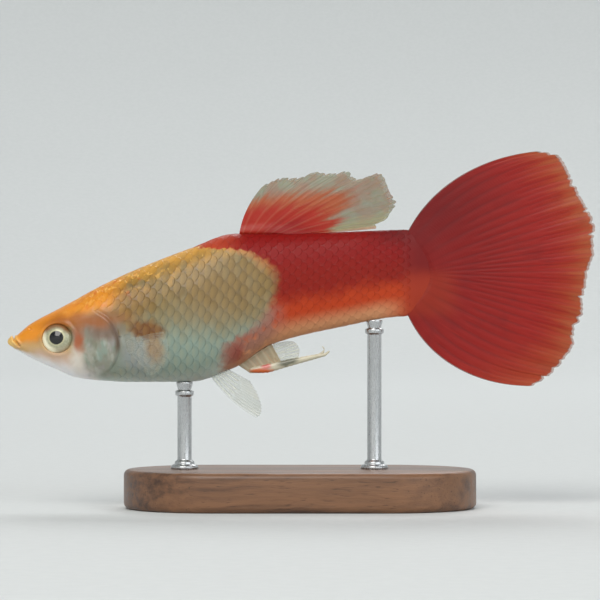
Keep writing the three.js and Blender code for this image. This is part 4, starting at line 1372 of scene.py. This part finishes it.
def build_plinth(settings):
    low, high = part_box("stand_plinth")
    size = high - low
    deselect_all()
    bpy.ops.mesh.primitive_cube_add(size=1, location=(low + high) / 2)
    plinth = name_new("stand_plinth_wood")
    bpy.ops.object.mode_set(mode="EDIT")
    bpy.ops.transform.resize(value=size)
    select_edges(plinth, lambda a, b: abs(a.z - b.z) > size.z / 2)
    bpy.ops.mesh.bevel(offset=size.y / 2 - 0.01 * MM, offset_type="OFFSET", segments=28)
    half = size.z / 2 - 0.01 * MM
    for level in (1, -1):
        select_edges(plinth, lambda a, b: a.z * level > half and b.z * level > half)
        bpy.ops.mesh.bevel(offset=settings.edge_round, offset_type="OFFSET", segments=6)
    bpy.ops.object.mode_set(mode="OBJECT")
    bpy.ops.object.transform_apply(location=True, rotation=True, scale=True)
    finish_piece(plinth, wood_finish(), ("stand_plinth",))
    bpy.ops.object.shade_smooth_by_angle(angle=math.radians(32))


def build_rod(node, material, settings):
    """A turned rod: a stepped foot, the shank and a small cup that touches the skin."""
    low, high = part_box(node)
    middle = (low + high) / 2
    x = middle.x / MM - SNOUT_X
    skin_at = SNOUT_Z + float(along(BELLY, np.array([x]))[0])
    radius = settings.rod_radius
    foot = settings.foot_radius
    floor = low.z
    top = skin_at * MM - 0.02 * MM
    steps = (
        (foot, floor), (foot, floor + 0.22 * MM), (foot * 0.88, floor + 0.34 * MM),
        (foot * 0.72, floor + 0.38 * MM), (foot * 0.72, floor + 0.56 * MM),
        (radius, floor + 0.72 * MM), (radius, top - 1.1 * MM),
        (radius * 1.3, top - 1.0 * MM), (radius * 1.3, top - 0.7 * MM),
        (radius * 0.9, top - 0.6 * MM), (radius * 1.15, top - 0.15 * MM), (radius * 1.15, top),
    )
    deselect_all()
    bpy.ops.mesh.primitive_circle_add(
        vertices=settings.rod_sides, radius=steps[0][0], fill_type="NGON", location=(middle.x, middle.y, steps[0][1])
    )
    rod = name_new(node + "_turned")
    bpy.ops.object.mode_set(mode="EDIT")
    bpy.ops.mesh.select_mode(type="FACE")
    bpy.ops.mesh.select_all(action="SELECT")
    for (before, below), (after, above) in zip(steps, steps[1:]):
        bpy.ops.mesh.extrude_region_move(TRANSFORM_OT_translate={"value": (0, 0, above - below)})
        if after != before:
            share = after / before
            bpy.ops.transform.resize(value=(share, share, 1))
    bpy.ops.object.mode_set(mode="OBJECT")
    bpy.ops.object.transform_apply(location=True, rotation=True, scale=True)
    turn_faces_out(rod)
    apply_modifier(rod, "BEVEL", width=0.04 * MM, segments=2, limit_method="ANGLE", angle_limit=math.radians(25))
    finish_piece(rod, material, (node,))
    bpy.ops.object.shade_smooth_by_angle(angle=math.radians(30))


def build_stand(settings):
    build_plinth(settings)
    steel = steel_finish()
    for node in ("stand_rod_front", "stand_rod_rear"):
        build_rod(node, steel, settings)


# Stage, light and camera

def stage_finish(colour):
    f = Finish("studio_floor")
    coordinates = f.node("ShaderNodeTexCoord").outputs["Object"]
    paper = f.noise(coordinates, 900.0, 3)
    f.set(
        Base_Color=f.blend(f.rise(paper, 0.3, 0.7, 0.0, 0.06), tuple(colour), (0.9, 0.9, 0.9)),
        Roughness=0.9,
        Specular_IOR_Level=0.2,
    )
    return f.material


def add_light(name, kind_size, power, place, target, tint):
    light = bpy.data.lights.new(name, "AREA")
    light.shape = "RECTANGLE"
    light.size, light.size_y = kind_size
    light.energy = power
    light.color = tint
    lamp = bpy.data.objects.new(name, light)
    bpy.context.scene.collection.objects.link(lamp)
    from_place = np.array(place, float)
    lamp.location = from_place
    direction = Vector(np.array(target) - from_place)
    lamp.rotation_euler = direction.to_track_quat("-Z", "Y").to_euler()


def build_stage(settings):
    deselect_all()
    bpy.ops.mesh.primitive_circle_add(vertices=128, radius=0.45, fill_type="NGON", location=(0, 0, 0))
    floor = name_new("studio_floor")
    bpy.ops.object.mode_set(mode="EDIT")
    bpy.ops.mesh.select_mode(type="FACE")
    bpy.ops.mesh.select_all(action="SELECT")
    bpy.ops.object.mode_set(mode="OBJECT")
    bpy.ops.object.mode_set(mode="EDIT")
    bpy.ops.mesh.select_mode(type="EDGE")
    bpy.ops.mesh.select_all(action="SELECT")
    bpy.ops.mesh.region_to_loop()
    reach, rise = 0.45, 0.0
    for step in range(1, 13):
        angle = math.pi / 2 * step / 12
        new_reach, new_rise = 0.45 + 0.4 * math.sin(angle), 0.4 * (1 - math.cos(angle))
        bpy.ops.mesh.extrude_region_move(TRANSFORM_OT_translate={"value": (0, 0, new_rise - rise)})
        share = new_reach / reach
        bpy.ops.transform.resize(value=(share, share, 1))
        reach, rise = new_reach, new_rise
    bpy.ops.mesh.extrude_region_move(TRANSFORM_OT_translate={"value": (0, 0, 0.5)})
    bpy.ops.mesh.select_all(action="SELECT")
    bpy.ops.mesh.normals_make_consistent(inside=True)
    bpy.ops.object.mode_set(mode="OBJECT")
    bpy.ops.object.shade_smooth()
    floor.data.materials.append(stage_finish(settings.floor_colour))

    target = (0, 0, settings.aim_height)
    add_light("key_light", (0.5, 0.5), settings.key_power, (-0.18, -0.56, 0.56), target, (1.0, 0.97, 0.93))
    add_light("fill_light", (0.7, 0.5), settings.fill_power, (0.5, -0.5, 0.25), target, (0.93, 0.97, 1.0))
    add_light("back_light", (0.5, 0.3), settings.back_power, (0.1, 0.5, 0.5), target, (1.0, 1.0, 1.0))

    studio = bpy.data.worlds.new("studio_air")
    studio.use_nodes = True
    background = studio.node_tree.nodes["Background"]
    background.inputs["Color"].default_value = (0.86, 0.9, 0.92, 1)
    background.inputs["Strength"].default_value = settings.air_light
    bpy.context.scene.world = studio

    lens = bpy.data.cameras.new("camera")
    lens.lens = settings.lens
    lens.sensor_width = 36
    lens.clip_start = 0.01
    camera = bpy.data.objects.new("camera", lens)
    bpy.context.scene.collection.objects.link(camera)
    distance = settings.lens * settings.frame_width / 36
    camera.location = (0, -distance, settings.aim_height)
    camera.rotation_euler = (math.radians(90), 0, 0)
    bpy.context.scene.camera = camera
    bpy.context.scene.view_settings.view_transform = "Standard"


# Settings

def size(name, description, value):
    return bpy.props.FloatProperty(name=name, description=description, default=value, unit="LENGTH", precision=5)


def millimetres(name, description, value):
    return bpy.props.FloatProperty(name=name, description=description, default=value, precision=3)


def count(name, description, value):
    return bpy.props.IntProperty(name=name, description=description, default=value, min=3)


class GuppyBodySettings(bpy.types.PropertyGroup):
    around: count("Skin sides", "Faces round the body", 256)
    rings: count("Skin rings", "Rings of faces from snout to tail", 330)
    eye_sides: count("Eye sides", "Faces round an eyeball", 64)
    rows: count("Scale rows", "Rows of scales on each side of the body", 11)
    spacing: millimetres("Scale spacing", "Distance between columns of scales, in millimetres", 0.46)
    length: millimetres("Scale length", "Length of a scale, in millimetres", 1.15)
    width: millimetres("Scale width", "Half width of a scale, as a share of a row", 0.6)
    lift: millimetres("Scale lift", "How far a scale's rear edge stands off the skin, in millimetres", 0.01)


class GuppyFinSettings(bpy.types.PropertyGroup):
    tail_columns: count("Tail columns", "Faces across the tail fin", 300)
    tail_rows: count("Tail rows", "Faces along the tail fin's rays", 110)
    dorsal_columns: count("Dorsal columns", "Faces across the dorsal fin", 192)
    dorsal_rows: count("Dorsal rows", "Faces along the dorsal fin's rays", 90)
    paired_columns: count("Small fin columns", "Faces across each smaller fin", 110)
    paired_rows: count("Small fin rows", "Faces along each smaller fin's rays", 48)


class GuppyStandSettings(bpy.types.PropertyGroup):
    edge_round: size("Plinth edge", "Rounding of the plinth's edges", 0.45 * MM)
    rod_radius: size("Rod radius", "Radius of each rod's shank", 0.55 * MM)
    foot_radius: size("Foot radius", "Radius of each rod's foot", 1.05 * MM)
    rod_sides: count("Rod sides", "Faces round each rod", 48)


class GuppyStageSettings(bpy.types.PropertyGroup):
    floor_colour: bpy.props.FloatVectorProperty(
        name="Floor", description="Colour of floor and backdrop", subtype="COLOR", default=(0.62, 0.64, 0.64)
    )
    key_power: bpy.props.FloatProperty(name="Key", description="Power of the key light", default=4.2, unit="POWER")
    fill_power: bpy.props.FloatProperty(name="Fill", description="Power of the fill light", default=2.2, unit="POWER")
    back_power: bpy.props.FloatProperty(name="Back", description="Power of the back light", default=2.0, unit="POWER")
    air_light: bpy.props.FloatProperty(name="Air", description="Strength of the even light", default=0.36)
    lens: bpy.props.FloatProperty(name="Lens", description="Focal length in millimetres", default=200.0)
    frame_width: size("Frame width", "Width of the view at the fish", 46.0 * MM)
    aim_height: size("Aim height", "Height of the camera and of its aim", 15.95 * MM)


# Operators

class GUPPY_OT_build_skin(bpy.types.Operator):
    """Model the skin as one closed surface with lips, nostrils, gill covers and eye rims"""

    bl_idname = "guppy.build_skin"
    bl_label = "Skin"

    def execute(self, context):
        build_skin(context.scene.guppy_body)
        return {"FINISHED"}


class GUPPY_OT_build_scales(bpy.types.Operator):
    """Lay overlapping scales over the nape, flanks and stalk"""

    bl_idname = "guppy.build_scales"
    bl_label = "Scales"

    def execute(self, context):
        build_scales(context.scene.guppy_body)
        return {"FINISHED"}


class GUPPY_OT_build_eyes(bpy.types.Operator):
    """Model both eyeballs with their lens and iris"""

    bl_idname = "guppy.build_eyes"
    bl_label = "Eyes"

    def execute(self, context):
        build_eyes(context.scene.guppy_body)
        return {"FINISHED"}


class GUPPY_OT_build_tail_fin(bpy.types.Operator):
    """Model the tail fin with its forking rays"""

    bl_idname = "guppy.build_tail_fin"
    bl_label = "Tail fin"

    def execute(self, context):
        build_tail_fin(context.scene.guppy_fins)
        return {"FINISHED"}


class GUPPY_OT_build_dorsal_fin(bpy.types.Operator):
    """Model the swept dorsal fin"""

    bl_idname = "guppy.build_dorsal_fin"
    bl_label = "Dorsal fin"

    def execute(self, context):
        build_dorsal_fin(context.scene.guppy_fins)
        return {"FINISHED"}


class GUPPY_OT_build_anal_fin(bpy.types.Operator):
    """Model the anal fin: web, rod and soft lobe"""

    bl_idname = "guppy.build_anal_fin"
    bl_label = "Anal fin"

    def execute(self, context):
        build_anal_fin(context.scene.guppy_fins)
        return {"FINISHED"}


class GUPPY_OT_build_paired_fins(bpy.types.Operator):
    """Model the pectoral and pelvic fins on both sides"""

    bl_idname = "guppy.build_paired_fins"
    bl_label = "Paired fins"

    def execute(self, context):
        build_paired_fins(context.scene.guppy_fins)
        return {"FINISHED"}


class GUPPY_OT_build_stand(bpy.types.Operator):
    """Model the plinth and its two turned rods"""

    bl_idname = "guppy.build_stand"
    bl_label = "Stand"

    def execute(self, context):
        build_stand(context.scene.guppy_stand)
        return {"FINISHED"}


class GUPPY_OT_build_stage(bpy.types.Operator):
    """Set the floor, the lights and the camera"""

    bl_idname = "guppy.build_stage"
    bl_label = "Stage"

    def execute(self, context):
        build_stage(context.scene.guppy_stage)
        return {"FINISHED"}


OPERATORS = (
    GUPPY_OT_build_stage,
    GUPPY_OT_build_skin,
    GUPPY_OT_build_scales,
    GUPPY_OT_build_eyes,
    GUPPY_OT_build_tail_fin,
    GUPPY_OT_build_dorsal_fin,
    GUPPY_OT_build_anal_fin,
    GUPPY_OT_build_paired_fins,
    GUPPY_OT_build_stand,
)
GROUPS = {
    "guppy_body": GuppyBodySettings,
    "guppy_fins": GuppyFinSettings,
    "guppy_stand": GuppyStandSettings,
    "guppy_stage": GuppyStageSettings,
}


class GUPPY_PT_sidebar(bpy.types.Panel):
    """Lists the pieces of the guppy and their settings"""

    bl_label = "Guppy"
    bl_idname = "GUPPY_PT_sidebar"
    bl_space_type = "VIEW_3D"
    bl_region_type = "UI"
    bl_category = "Guppy"

    def draw(self, context):
        for operator in OPERATORS:
            self.layout.operator(operator.bl_idname)
        for name, group in GROUPS.items():
            box = self.layout.box()
            for field in group.__annotations__:
                box.prop(getattr(context.scene, name), field)


def register():
    for group in GROUPS.values():
        bpy.utils.register_class(group)
    for name, group in GROUPS.items():
        setattr(bpy.types.Scene, name, bpy.props.PointerProperty(type=group))
    for operator in OPERATORS:
        bpy.utils.register_class(operator)
    bpy.utils.register_class(GUPPY_PT_sidebar)


def unregister():
    bpy.utils.unregister_class(GUPPY_PT_sidebar)
    for operator in reversed(OPERATORS):
        bpy.utils.unregister_class(operator)
    for name in GROUPS:
        delattr(bpy.types.Scene, name)
    for group in reversed(GROUPS.values()):
        bpy.utils.unregister_class(group)


def main():
    register()
    for operator in OPERATORS:
        area, verb = operator.bl_idname.split(".")
        getattr(getattr(bpy.ops, area), verb)()
    deselect_all()


if __name__ == "__main__":
    main()
